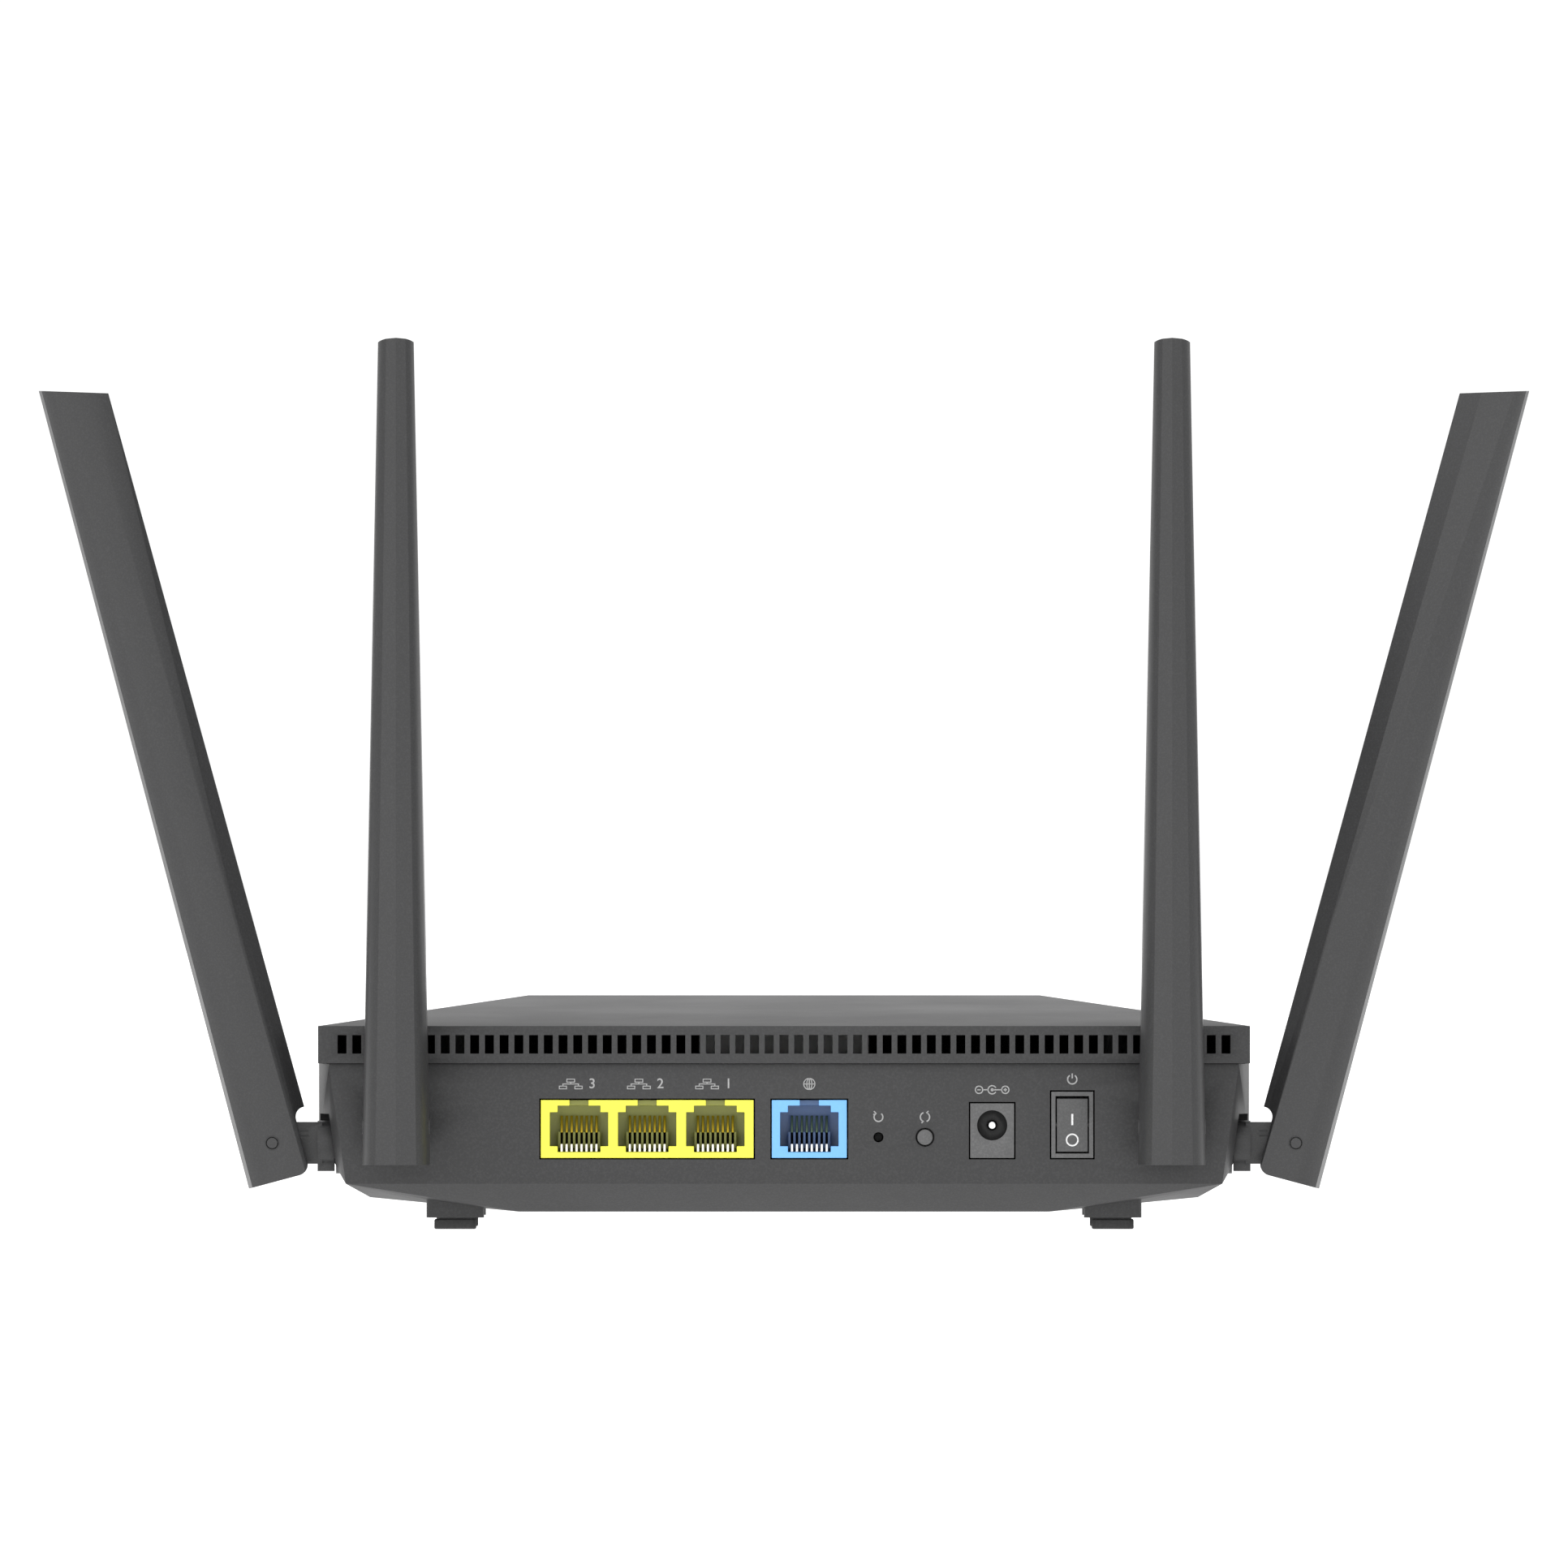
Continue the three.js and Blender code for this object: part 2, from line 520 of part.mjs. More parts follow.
// A pan-head screw along Z, its head's underside at the seat.
function screw(x, y, seat, length) {
  const head = rod("z", SCREW_HEAD_RADIUS, seat - FIT_GAP - SCREW_HEAD_HEIGHT, seat - FIT_GAP, x, y, 16);
  const shank = rod("z", SCREW_SHANK_RADIUS, seat - 2 * FIT_GAP, seat + length, x, y, 12);
  const slot = box(
    [x - SCREW_HEAD_RADIUS / 2, x + SCREW_HEAD_RADIUS / 2],
    [y - 0.3, y + 0.3],
    [seat - FIT_GAP - SCREW_HEAD_HEIGHT - PROBE, seat - FIT_GAP - SCREW_HEAD_HEIGHT / 2],
  );
  return head.add(shank).subtract(slot);
}

for (const { name, x, y } of eachFoot) {
  piece(`rubber_foot_${name}`, pad(RUBBER_SIZE, FOOT_CORNER, x, y, 0, RUBBER_HEIGHT), RUBBER);
  piece(`case_screw_${name}`, screw(x, y, SCREW_SEAT_Z, SCREW_LENGTH), STEEL);
}

// ---------------------------------------------------------------- network sockets

// One port: the plug's space, its shoulders, the latch notch and the contacts' trough, open towards +Y.
function portCavity(x) {
  const mouth = at(-PROBE);
  const back = at(PORT_DEPTH);
  return union([
    box(span(x, PORT_WIDTH), [back, mouth], [PORT_LOW_Z, PORT_TOP_Z]),
    box(span(x, SHOULDER_WIDTH), [back, mouth], [PORT_LOW_Z - COMB_DEPTH, PORT_TOP_Z + SHOULDER_HEIGHT]),
    box(span(x, LATCH_WIDTH), [at(PORT_DEPTH / 2), mouth], [PORT_TOP_Z, SOCKET_TOP_Z + PROBE]),
  ]);
}

function socketHousing(centre, width, ports) {
  const housing = box(span(centre, width), [at(SOCKET_DEPTH), PANEL_Y], [SOCKET_Z, SOCKET_TOP_Z]);
  return housing.subtract(union(ports.map(portCavity)));
}

// Eight bent spring wires, held at the back by a moulded bar.
function contactSet(x) {
  const half = CONTACT_WIDTH / 2;
  const tip = { y: at(1.6), z: PORT_LOW_Z - COMB_DEPTH + 2 * FIT_GAP };
  const knee = { y: at(PORT_DEPTH - 2.6), z: PORT_LOW_Z + 2 };
  const top = { y: at(PORT_DEPTH - 2), z: PORT_TOP_Z - 0.8 };
  const wire = outline([
    [tip.y, tip.z - half],
    [tip.y, tip.z + half],
    [knee.y + half, knee.z + half],
    [top.y + half, top.z],
    [top.y - half, top.z],
    [knee.y - half, knee.z - half],
  ]);
  const bar = box(
    span(x, SHOULDER_WIDTH - 2 * FIT_GAP),
    [at(PORT_DEPTH - FIT_GAP), top.y],
    [PORT_LOW_Z + FIT_GAP, PORT_TOP_Z - FIT_GAP],
  );
  const wires = row(CONTACTS, CONTACT_PITCH).map((place) => slab(wire, ...span(x + place, CONTACT_WIDTH)));
  return union([bar, ...wires]);
}

const lanPorts = row(LAN_PORTS, PORT_PITCH).map((place) => LAN_CENTRE_X + place);
piece("lan_socket_block", socketHousing(LAN_CENTRE_X, LAN_WIDTH, lanPorts), LAN_PLASTIC);
piece("wan_socket", socketHousing(WAN_CENTRE_X, WAN_WIDTH, [WAN_CENTRE_X]), WAN_PLASTIC);
lanPorts.forEach((x, i) => piece(`lan_${i + 1}_contacts`, contactSet(x), GOLD));
piece("wan_contacts", contactSet(WAN_CENTRE_X), GOLD);

// ---------------------------------------------------------------- power socket and switch

function dcSocket() {
  const housing = box(span(DC_CENTRE_X, DC_WIDTH), [at(DC_DEPTH), PANEL_Y], [SOCKET_Z, SOCKET_Z + DC_HEIGHT]);
  const bore = rod("y", DC_BORE_RADIUS, at(DC_BORE_DEPTH), at(-PROBE), DC_CENTRE_X, DC_BORE_Z, 32);
  const holeRadius = DC_PIN_RADIUS + FIT_GAP;
  const pinHole = rod("y", holeRadius, at(DC_DEPTH + PROBE), PANEL_Y, DC_CENTRE_X, DC_BORE_Z, 16);
  return housing.subtract(bore).subtract(pinHole);
}

piece("dc_socket", dcSocket(), CONTROL_PLASTIC);
piece(
  "dc_socket_pin",
  rod("y", DC_PIN_RADIUS, at(DC_DEPTH - FIT_GAP), at(1), DC_CENTRE_X, DC_BORE_Z, 16),
  STEEL,
);

// The rocker in its own frame: pivot at the origin, +Y out of the case, level between its two throws.
function rockerSolid() {
  const radius = Math.hypot(ROCKER_REACH, ROCKER_FACE + ROCKER_REACH * Math.tan(ROCKER_THROW));
  const faceEnd = ROCKER_FACE + ROCKER_REACH * Math.tan(ROCKER_THROW);
  const face = slab(
    outline([
      [-radius, -radius],
      [faceEnd, -ROCKER_REACH],
      [ROCKER_FACE, 0],
      [faceEnd, ROCKER_REACH],
      [-radius, radius],
    ]),
    -ROCKER_WIDTH / 2,
    ROCKER_WIDTH / 2,
  );
  const drum = rod("x", radius, -ROCKER_WIDTH / 2, ROCKER_WIDTH / 2, 0, 0, 48);
  const reach = ROCKER_WIDTH / 2 + TRUNNION_LENGTH;
  return drum.intersect(face).add(rod("x", TRUNNION_RADIUS, -reach, reach, 0, 0, 12));
}

function switchBody() {
  const middle = SWITCH_CENTRE_X;
  const housing = box(
    span(middle, SWITCH_WIDTH),
    [at(SWITCH_DEPTH), PANEL_Y],
    span(SWITCH_MID_Z, SWITCH_HEIGHT),
  );
  const room = box(
    span(middle, ROCKER_WIDTH + 2 * ROCKER_GAP),
    [at(ROCKER_FACE + ROCKER_REACH + 3 * ROCKER_GAP), at(-PROBE)],
    span(SWITCH_MID_Z, 2 * ROCKER_REACH + 4 * ROCKER_GAP),
  );
  const reach = ROCKER_WIDTH / 2 + TRUNNION_LENGTH + ROCKER_GAP;
  const sockets = rod(
    "x",
    TRUNNION_RADIUS + ROCKER_GAP,
    middle - reach,
    middle + reach,
    at(ROCKER_FACE),
    SWITCH_MID_Z,
    16,
  );
  return housing.subtract(room).subtract(sockets);
}

piece("power_switch_body", switchBody(), CONTROL_PLASTIC);
const rocker = new THREE.Group();
rocker.position.set(SWITCH_CENTRE_X, at(ROCKER_FACE), SWITCH_MID_Z);
rocker.rotation.x = -ROCKER_THROW; // the lower end is pressed in: off
router.add(rocker);
piece("power_rocker", rockerSolid(), CONTROL_PLASTIC, rocker);

// ---------------------------------------------------------------- push buttons

const innerFace = WALL + FIT_GAP; // depth of the plane just behind the back panel

// A round push button with a flange that the back panel holds in.
function pairingButton() {
  const end = at(innerFace + BUTTON_LENGTH);
  const cap = rod("y", PAIRING_RADIUS, end, at(-PAIRING_PROUD), PAIRING_X, BUTTON_Z, 32);
  const flange = rod("y", BUTTON_FLANGE_RADIUS, at(innerFace + 1), at(innerFace), PAIRING_X, BUTTON_Z);
  return cap.add(flange);
}

function resetButton() {
  const tip = innerFace + RESET_RECESS;
  return rod("y", RESET_RADIUS, at(innerFace + BUTTON_LENGTH), at(tip), RESET_X, BUTTON_Z, 16);
}

// The square switch that a button presses, standing on the board. The button's end slides in its bore.
function keySwitch(x, plungerRadius) {
  const end = innerFace + BUTTON_LENGTH;
  const face = end - PLUNGER_SEAT;
  const body = box(span(x, KEY_SIZE), [at(face + KEY_HEIGHT), at(face)], [onBoard, BUTTON_Z + KEY_SIZE / 2]);
  const boreEnd = end + KEY_TRAVEL + FIT_GAP;
  return body.subtract(rod("y", plungerRadius + FIT_GAP, at(boreEnd), at(face - PROBE), x, BUTTON_Z, 16));
}

piece("pairing_button", pairingButton(), CONTROL_PLASTIC);
piece("pairing_key_switch", keySwitch(PAIRING_X, PAIRING_RADIUS), BLACK_PLASTIC);
piece("reset_button", resetButton(), BLACK_PLASTIC);
piece("reset_key_switch", keySwitch(RESET_X, RESET_RADIUS), BLACK_PLASTIC);

// ---------------------------------------------------------------- board and what stands on it

function board() {
  const sheet = box(
    [-BOARD_HALF_WIDTH, BOARD_HALF_WIDTH],
    [at(BOARD_FRONT), at(BOARD_BACK)],
    [BOARD_LOW_Z, BOARD_TOP_Z],
  );
  const holes = BOARD_SCREWS.map(([x, depth]) =>
    rod("z", SCREW_BORE_RADIUS, BOARD_LOW_Z - PROBE, BOARD_TOP_Z + PROBE, x, at(depth), 12),
  );
  return sheet.subtract(union(holes));
}

// A block that stands on the board, its middle at x and depth.
const chip = (x, depth, width, length, height) =>
  box(span(x, width), span(at(depth), length), [onBoard, onBoard + height]);

function boardScrew([x, depth]) {
  const y = at(depth);
  const head = rod("z", SCREW_HEAD_RADIUS, onBoard, onBoard + SCREW_HEAD_HEIGHT, x, y, 16);
  return head.add(rod("z", SCREW_SHANK_RADIUS, BOARD_LOW_Z - BOARD_SCREW_BITE, onBoard + FIT_GAP, x, y, 12));
}

const PROCESSOR = { depth: 62, size: 17 };
const SINK = { size: 34, plate: 2, height: 9, fins: 5, fin: 1.6 };

function heatSink() {
  const low = onBoard + CHIP_HEIGHT + FIT_GAP;
  const along = span(at(PROCESSOR.depth), SINK.size);
  const plate = box(span(0, SINK.size), along, [low, low + SINK.plate]);
  const pitch = (SINK.size - SINK.fin) / (SINK.fins - 1);
  const fins = row(SINK.fins, pitch).map((x) =>
    box(span(x, SINK.fin), along, [low + SINK.plate / 2, low + SINK.height]),
  );
  return union([plate, ...fins]);
}

const RF_SHIELD = { x: 36, depth: 72, width: 32, length: 30, height: 3.2, sheet: 0.5 };

function rfShield() {
  const { x, depth, width, length, height, sheet } = RF_SHIELD;
  const inside = box(
    span(x, width - 2 * sheet),
    span(at(depth), length - 2 * sheet),
    [onBoard - PROBE, onBoard + height - sheet],
  );
  return chip(x, depth, width, length, height).subtract(inside);
}

// Five light pipes that rise from the board's front edge and turn towards the windows.
function lightGuide() {
  const half = ((LED_COUNT - 1) * LED_PITCH + LED_WINDOW[0]) / 2;
  const foot = at(BOARD_FRONT - 2 * GUIDE_THICKNESS);
  const knee = RIDGE_Z - WALL - 5;
  const bend = outline([
    [foot - GUIDE_THICKNESS / 2, onBoard],
    [foot + GUIDE_THICKNESS / 2, onBoard],
    [foot + GUIDE_THICKNESS / 2, knee],
    [at(RIDGE_DEPTH + RIDGE_TO_NOSE / 2 - 3), knee - 0.4],
    [at(RIDGE_DEPTH + RIDGE_TO_NOSE / 2 - 3), knee - 0.4 - GUIDE_THICKNESS],
    [foot - GUIDE_THICKNESS / 2, knee - GUIDE_THICKNESS],
  ]);
  return slab(bend, -half, half).add(ledWindows(0, -4.5, -0.05));
}

piece("main_board", board(), BOARD_GREEN);
for (const place of BOARD_SCREWS) {
  piece(`board_screw_${place[0] > 0 ? "right" : "left"}`, boardScrew(place), STEEL);
}
piece("processor", chip(0, PROCESSOR.depth, PROCESSOR.size, PROCESSOR.size, CHIP_HEIGHT), BLACK_PLASTIC);
piece("heat_sink", heatSink(), ALUMINIUM);
piece("rf_shield", rfShield(), STEEL);
piece("radio_chip", chip(RF_SHIELD.x, RF_SHIELD.depth, 10, 10, CHIP_HEIGHT), BLACK_PLASTIC);
piece("memory_chip", chip(-28, 66, 12, 8, CHIP_HEIGHT), BLACK_PLASTIC);
piece("lan_transformer", chip(LAN_CENTRE_X, 27, 30, 10, 5), BLACK_PLASTIC);
piece("wan_transformer", chip(WAN_CENTRE_X, 27, 12, 10, 5), BLACK_PLASTIC);
piece("power_capacitor", rod("z", 4, onBoard, onBoard + 11, DC_CENTRE_X, at(26), 20), BLACK_PLASTIC);
piece("light_guide", lightGuide(), CLEAR);

// ---------------------------------------------------------------- antennas

// Half of the sleeve's section at a height, from the outer ridge round to the inner edge, as [x, y].
function sleeveSection(share, creased) {
  const mix = (low, top) => low + (top - low) * share;
  const half = mix(ANTENNA_HALF_LOW, ANTENNA_HALF_TOP);
  const width = mix(ANTENNA_WIDTH_LOW, ANTENNA_WIDTH_TOP);
  const ridge = PIN_TO_RIDGE - RIDGE_LEAN * share;
  const innerCrease = mix(12.8, 9.4);
  const outerCrease = creased ? 2.9 : innerCrease - 0.6;
  return [
    [0, ridge],
    [half * mix(0.6, 0.54), ridge - mix(0.8, 0.6)],
    [half * mix(0.74, 0.67), ridge - mix(1.7, 1)],
    [half * mix(0.85, 0.79), ridge - mix(2.8, 1.5)],
    [half * mix(0.93, 0.88), ridge - mix(4, 2)],
    [half * mix(0.98, 0.95), ridge - mix(5.3, 2.5)],
    [half, ridge - outerCrease],
    [half * mix(1, 0.86), ridge - innerCrease],
    [half * mix(0.6, 0.45), ridge - width],
  ];
}

// A closed skin over rings of points [x, y, z], all turning the same way seen from above.
function loft(rings) {
  const count = rings[0].length;
  const positions = rings.flat(2);
  const index = [];
  for (let r = 0; r + 1 < rings.length; r++)
    for (let i = 0; i < count; i++) {
      const j = (i + 1) % count;
      const [a, b, c, d] = [r * count + i, r * count + j, (r + 1) * count + j, (r + 1) * count + i];
      index.push(a, b, c, a, c, d);
    }
  const last = (rings.length - 1) * count;
  for (let i = 1; i + 1 < count; i++) {
    index.push(0, i + 1, i);
    index.push(last, last + i, last + i + 1);
  }
  const geometry = new THREE.BufferGeometry();
  geometry.setAttribute("position", new THREE.Float32BufferAttribute(positions, 3));
  geometry.setIndex(index);
  return solid(geometry);
}

// Runs round the whole section from one half of it, counter-clockwise seen from above.
function fullRing(half, heightAt) {
  const right = half.slice(1).reverse();
  const left = half.slice(1).map(([x, y]) => [-x, y]);
  return [...right, half[0], ...left].map(([x, y]) => [x, y, heightAt(y)]);
}

function sleeveOutside() {
  const length = ANTENNA_ABOVE_PIN + ANTENNA_BELOW_PIN;
  const share = (height) => (height + ANTENNA_BELOW_PIN) / length;
  return loft([
    fullRing(sleeveSection(0, false), () => -ANTENNA_BELOW_PIN),
    fullRing(sleeveSection(share(CREASE_HEIGHT), false), () => CREASE_HEIGHT),
    fullRing(sleeveSection(1, true), (y) => ANTENNA_ABOVE_PIN - (PIN_TO_RIDGE - y) * ANTENNA_TOP_DROP),
  ]);
}

// The side view that trims the sleeve: round inner bottom corner, cheeks, and the notch above the tongue.
function sleeveSideView() {
  const cheek = PIN_TO_RIDGE - CHEEK_WIDTH;
  const low = -ANTENNA_BELOW_PIN - PROBE;
  const far = PIN_TO_RIDGE + PROBE;
  const high = ANTENNA_ABOVE_PIN + PROBE;
  const shape = new THREE.Shape();
  shape.moveTo(far, low);
  shape.lineTo(far, high);
  shape.lineTo(-2 * ANTENNA_WIDTH_LOW, high);
  shape.lineTo(-2 * ANTENNA_WIDTH_LOW, NOTCH_HEIGHT + NOTCH_RADIUS);
  shape.lineTo(cheek - NOTCH_RADIUS, NOTCH_HEIGHT + NOTCH_RADIUS);
  shape.absarc(cheek - NOTCH_RADIUS, NOTCH_HEIGHT, NOTCH_RADIUS, Math.PI / 2, 0, true);
  const corner = -ANTENNA_BELOW_PIN + CHEEK_CORNER;
  shape.absarc(cheek + CHEEK_CORNER, corner, CHEEK_CORNER, Math.PI, 1.5 * Math.PI, false);
  shape.lineTo(cheek + CHEEK_CORNER, low);
  shape.closePath();
  return slab(shape, -2 * ANTENNA_HALF_LOW, 2 * ANTENNA_HALF_LOW, 6);
}

// The long hollow for the aerial strip, narrowing upwards with the sleeve.
function sleeveHollow() {
  const ring = (half, inner, z) => [
    [half, inner, z],
    [half, PIN_TO_RIDGE - 2 * ANTENNA_SHELL, z],
    [-half, PIN_TO_RIDGE - 2 * ANTENNA_SHELL, z],
    [-half, inner, z],
  ];
  const inner = PIN_TO_RIDGE - ANTENNA_WIDTH_TOP + 2 * ANTENNA_SHELL;
  const top = ANTENNA_ABOVE_PIN - ANTENNA_WIDTH_TOP * ANTENNA_TOP_DROP - 2 * ANTENNA_SHELL;
  return loft([
    ring(SLOT_HALF_WIDTH, inner, SLOT_TOP - PROBE),
    ring((ANTENNA_HALF_TOP - ANTENNA_SHELL) * 0.8, inner + ANTENNA_SHELL, top),
  ]);
}

function antennaSleeve() {
  const slot = box(
    [-SLOT_HALF_WIDTH, SLOT_HALF_WIDTH],
    [-2 * ANTENNA_WIDTH_LOW, TONGUE_RADIUS + RUNNING_GAP],
    [-ANTENNA_BELOW_PIN - PROBE, SLOT_TOP],
  );
  const pinHole = rod("x", PIN_RADIUS + RUNNING_GAP / 2, -2 * ANTENNA_HALF_LOW, 2 * ANTENNA_HALF_LOW, 0, 0);
  return sleeveOutside()
    .intersect(sleeveSideView())
    .subtract(slot)
    .subtract(sleeveHollow())
    .subtract(pinHole);
}

// The turning base: a tongue around the fold pin, a collar on the seat, and a hollow neck through the wall.
const COLLAR_BACK = -(PIN_TO_COLLAR + COLLAR_LENGTH);

function antennaKnuckle(seatThickness) {
  const wallBack = COLLAR_BACK - FIT_GAP - seatThickness;
  const grooveBack = wallBack - CLIP_THICKNESS - 2 * FIT_GAP;
  const neckEnd = grooveBack - NECK_END_LENGTH;
  const shape = outline([
    [0, -TONGUE_RADIUS],
    [0, TONGUE_RADIUS],
    [-PIN_TO_COLLAR - PROBE, TONGUE_RADIUS],
    [-PIN_TO_COLLAR - PROBE, -TONGUE_RADIUS],
  ]);
  return union([
    slab(shape, -TONGUE_HALF_THICKNESS, TONGUE_HALF_THICKNESS),
    rod("x", TONGUE_RADIUS, -TONGUE_HALF_THICKNESS, TONGUE_HALF_THICKNESS, 0, 0, 24),
    rod("y", COLLAR_RADIUS, COLLAR_BACK, -PIN_TO_COLLAR, 0, 0, 28),
    box(span(0, COLLAR_LIP_WIDTH), [COLLAR_BACK, -PIN_TO_COLLAR], [-COLLAR_LIP_REACH, 0]),
    rod("y", NECK_RADIUS, wallBack - FIT_GAP, COLLAR_BACK + PROBE, 0, 0),
    rod("y", NECK_GROOVE_RADIUS, neckEnd, wallBack, 0, 0),
    rod("y", NECK_RADIUS, neckEnd, grooveBack, 0, 0),
  ])
    .subtract(rod("y", LEAD_BORE_RADIUS, neckEnd - PROBE, -PIN_RADIUS, 0, 0, 12))
    .subtract(rod("x", PIN_RADIUS + RUNNING_GAP, -TONGUE_RADIUS, TONGUE_RADIUS, 0, 0));
}

function retainingClip(seatThickness) {
  const front = COLLAR_BACK - 2 * FIT_GAP - seatThickness;
  const ring = rod("y", CLIP_RADIUS, front - CLIP_THICKNESS, front, 0, 0, 28);
  const hole = rod("y", NECK_GROOVE_RADIUS + FIT_GAP, front - CLIP_THICKNESS - PROBE, front + PROBE, 0, 0);
  const mouth = box(
    [-NECK_GROOVE_RADIUS, NECK_GROOVE_RADIUS],
    [front - CLIP_THICKNESS - PROBE, front + PROBE],
    [0, CLIP_RADIUS + PROBE],
  );
  return ring.subtract(hole).subtract(mouth);
}

// The printed aerial strip inside the sleeve.
function aerialStrip() {
  const top = ANTENNA_ABOVE_PIN - ANTENNA_WIDTH_TOP * ANTENNA_TOP_DROP - 4 * ANTENNA_SHELL;
  return box(span(0, STRIP_THICKNESS), span(0, STRIP_WIDTH), [SLOT_TOP, top]);
}

const ANTENNAS = [
  { name: "rear_right", x: REAR_ANTENNA_X, depth: 0, z: REAR_PIVOT_Z, turn: 0, splay: 0, seat: WALL },
  { name: "rear_left", x: -REAR_ANTENNA_X, depth: 0, z: REAR_PIVOT_Z, turn: 0, splay: 0, seat: WALL },
  {
    name: "side_right",
    x: SIDE_SEAT_X,
    depth: SIDE_ANTENNA_DEPTH,
    z: SIDE_PIVOT_Z,
    turn: -Math.PI / 2,
    splay: SIDE_SPLAY,
    seat: SEAT_THICKNESS,
  },
  {
    name: "side_left",
    x: -SIDE_SEAT_X,
    depth: SIDE_ANTENNA_DEPTH,
    z: SIDE_PIVOT_Z,
    turn: Math.PI / 2,
    splay: SIDE_SPLAY,
    seat: SEAT_THICKNESS,
  },
];

for (const { name, x, depth, z, turn, splay, seat } of ANTENNAS) {
  const base = new THREE.Group();
  base.position.set(x, at(depth), z);
  base.rotation.z = turn;
  const pivot = new THREE.Group();
  pivot.position.y = SLEEVE_REACH;
  const fold = new THREE.Group();
  fold.rotation.x = -splay;
  router.add(base);
  base.add(pivot);
  pivot.add(fold);
  piece(`antenna_sleeve_${name}`, antennaSleeve(), ANTENNA_PLASTIC, fold);
  piece(`aerial_strip_${name}`, aerialStrip(), BOARD_GREEN, fold);
  const pinHalf = ANTENNA_HALF_LOW - FIT_GAP;
  piece(`fold_pin_${name}`, rod("x", PIN_RADIUS, -pinHalf, pinHalf, 0, 0), ANTENNA_PLASTIC, fold);
  piece(`antenna_knuckle_${name}`, antennaKnuckle(seat), KNUCKLE_PLASTIC, pivot);
  piece(`retaining_clip_${name}`, retainingClip(seat), STEEL, pivot);
}

// ---------------------------------------------------------------- aerial leads inside the case

// Each lead runs from the end of its antenna's hollow neck to a solder point on the board.
function aerialLead(points) {
  const places = points.map(([x, depth, z]) => new THREE.Vector3(x, at(depth), z));
  const path = new THREE.CatmullRomCurve3(places);
  const section = new THREE.Shape();
  section.absarc(0, 0, LEAD_RADIUS, 0, 2 * Math.PI);
  return solid(new THREE.ExtrudeGeometry(section, { steps: 16, curveSegments: 3, extrudePath: path }));
}

const neckInside = (seat) => seat + CLIP_THICKNESS + 4 * FIT_GAP + NECK_END_LENGTH;
const solderZ = onBoard + LEAD_RADIUS;

for (const side of [1, -1]) {
  const label = side > 0 ? "right" : "left";
  const rearStart = neckInside(WALL) - NECK_END_LENGTH / 2;
  piece(
    `aerial_lead_rear_${label}`,
    aerialLead([
      [side * REAR_ANTENNA_X, rearStart, REAR_PIVOT_Z],
      [side * REAR_ANTENNA_X, rearStart + 5, REAR_PIVOT_Z],
      [side * (REAR_ANTENNA_X - 3), rearStart + 20, REAR_PIVOT_Z - 1],
      [side * (BOARD_HALF_WIDTH + 4), 38, REAR_PIVOT_Z - 2],
      [side * (BOARD_HALF_WIDTH - 3), 46, solderZ + 1],
      [side * (BOARD_HALF_WIDTH - 8), 49, solderZ],
    ]),
    LEAD_GREY,
  );
  const sideStart = SIDE_SEAT_X - neckInside(SEAT_THICKNESS) + NECK_END_LENGTH / 2;
  piece(
    `aerial_lead_side_${label}`,
    aerialLead([
      [side * sideStart, SIDE_ANTENNA_DEPTH, SIDE_PIVOT_Z],
      [side * (sideStart - 4), SIDE_ANTENNA_DEPTH + 1, SIDE_PIVOT_Z],
      [side * (sideStart - 7), SIDE_ANTENNA_DEPTH + 10, SIDE_PIVOT_Z - 2],
      [side * (BOARD_HALF_WIDTH + 9), 50, SIDE_PIVOT_Z - 3],
      [side * (BOARD_HALF_WIDTH + 1), 68, solderZ + 1.5],
      [side * (BOARD_HALF_WIDTH - 6), 73, solderZ],
    ]),
    LEAD_GREY,
  );
}

export default router;
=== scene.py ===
"""The looks of a desktop wireless router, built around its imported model: satin moulded plastic with softened
edges, network sockets with their contact wires, printed symbols, and the controls on its back."""

import json
import math

import bpy
from mathutils import Matrix, Vector


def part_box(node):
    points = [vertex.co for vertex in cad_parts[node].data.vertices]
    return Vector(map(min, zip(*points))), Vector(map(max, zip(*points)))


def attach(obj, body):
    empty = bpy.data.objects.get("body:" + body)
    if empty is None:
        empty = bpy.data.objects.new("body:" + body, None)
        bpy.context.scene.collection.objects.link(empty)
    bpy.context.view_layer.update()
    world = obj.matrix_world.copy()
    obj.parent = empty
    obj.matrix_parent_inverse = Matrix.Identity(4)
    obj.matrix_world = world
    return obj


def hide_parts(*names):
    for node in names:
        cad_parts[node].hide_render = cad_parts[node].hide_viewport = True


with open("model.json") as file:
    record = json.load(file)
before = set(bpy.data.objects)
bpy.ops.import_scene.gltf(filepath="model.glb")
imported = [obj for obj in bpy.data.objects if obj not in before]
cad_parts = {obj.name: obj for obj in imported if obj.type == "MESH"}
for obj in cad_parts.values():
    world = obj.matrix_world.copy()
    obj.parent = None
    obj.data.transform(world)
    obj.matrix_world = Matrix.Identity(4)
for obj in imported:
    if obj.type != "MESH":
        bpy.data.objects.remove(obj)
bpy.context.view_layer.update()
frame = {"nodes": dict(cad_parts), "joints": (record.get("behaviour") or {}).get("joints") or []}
NODES = frame["nodes"]
JOINTS = {joint["name"]: joint for joint in frame["joints"]}
ANTENNAS = ("rear_right", "rear_left", "side_right", "side_left")
FEET = ("rear_right", "rear_left", "front_right", "front_left")
MM = 0.001
PANEL_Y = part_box("lan_socket_block")[1].y  # outer face of the back panel


# ------------------------------------------------------------------ camera and studio

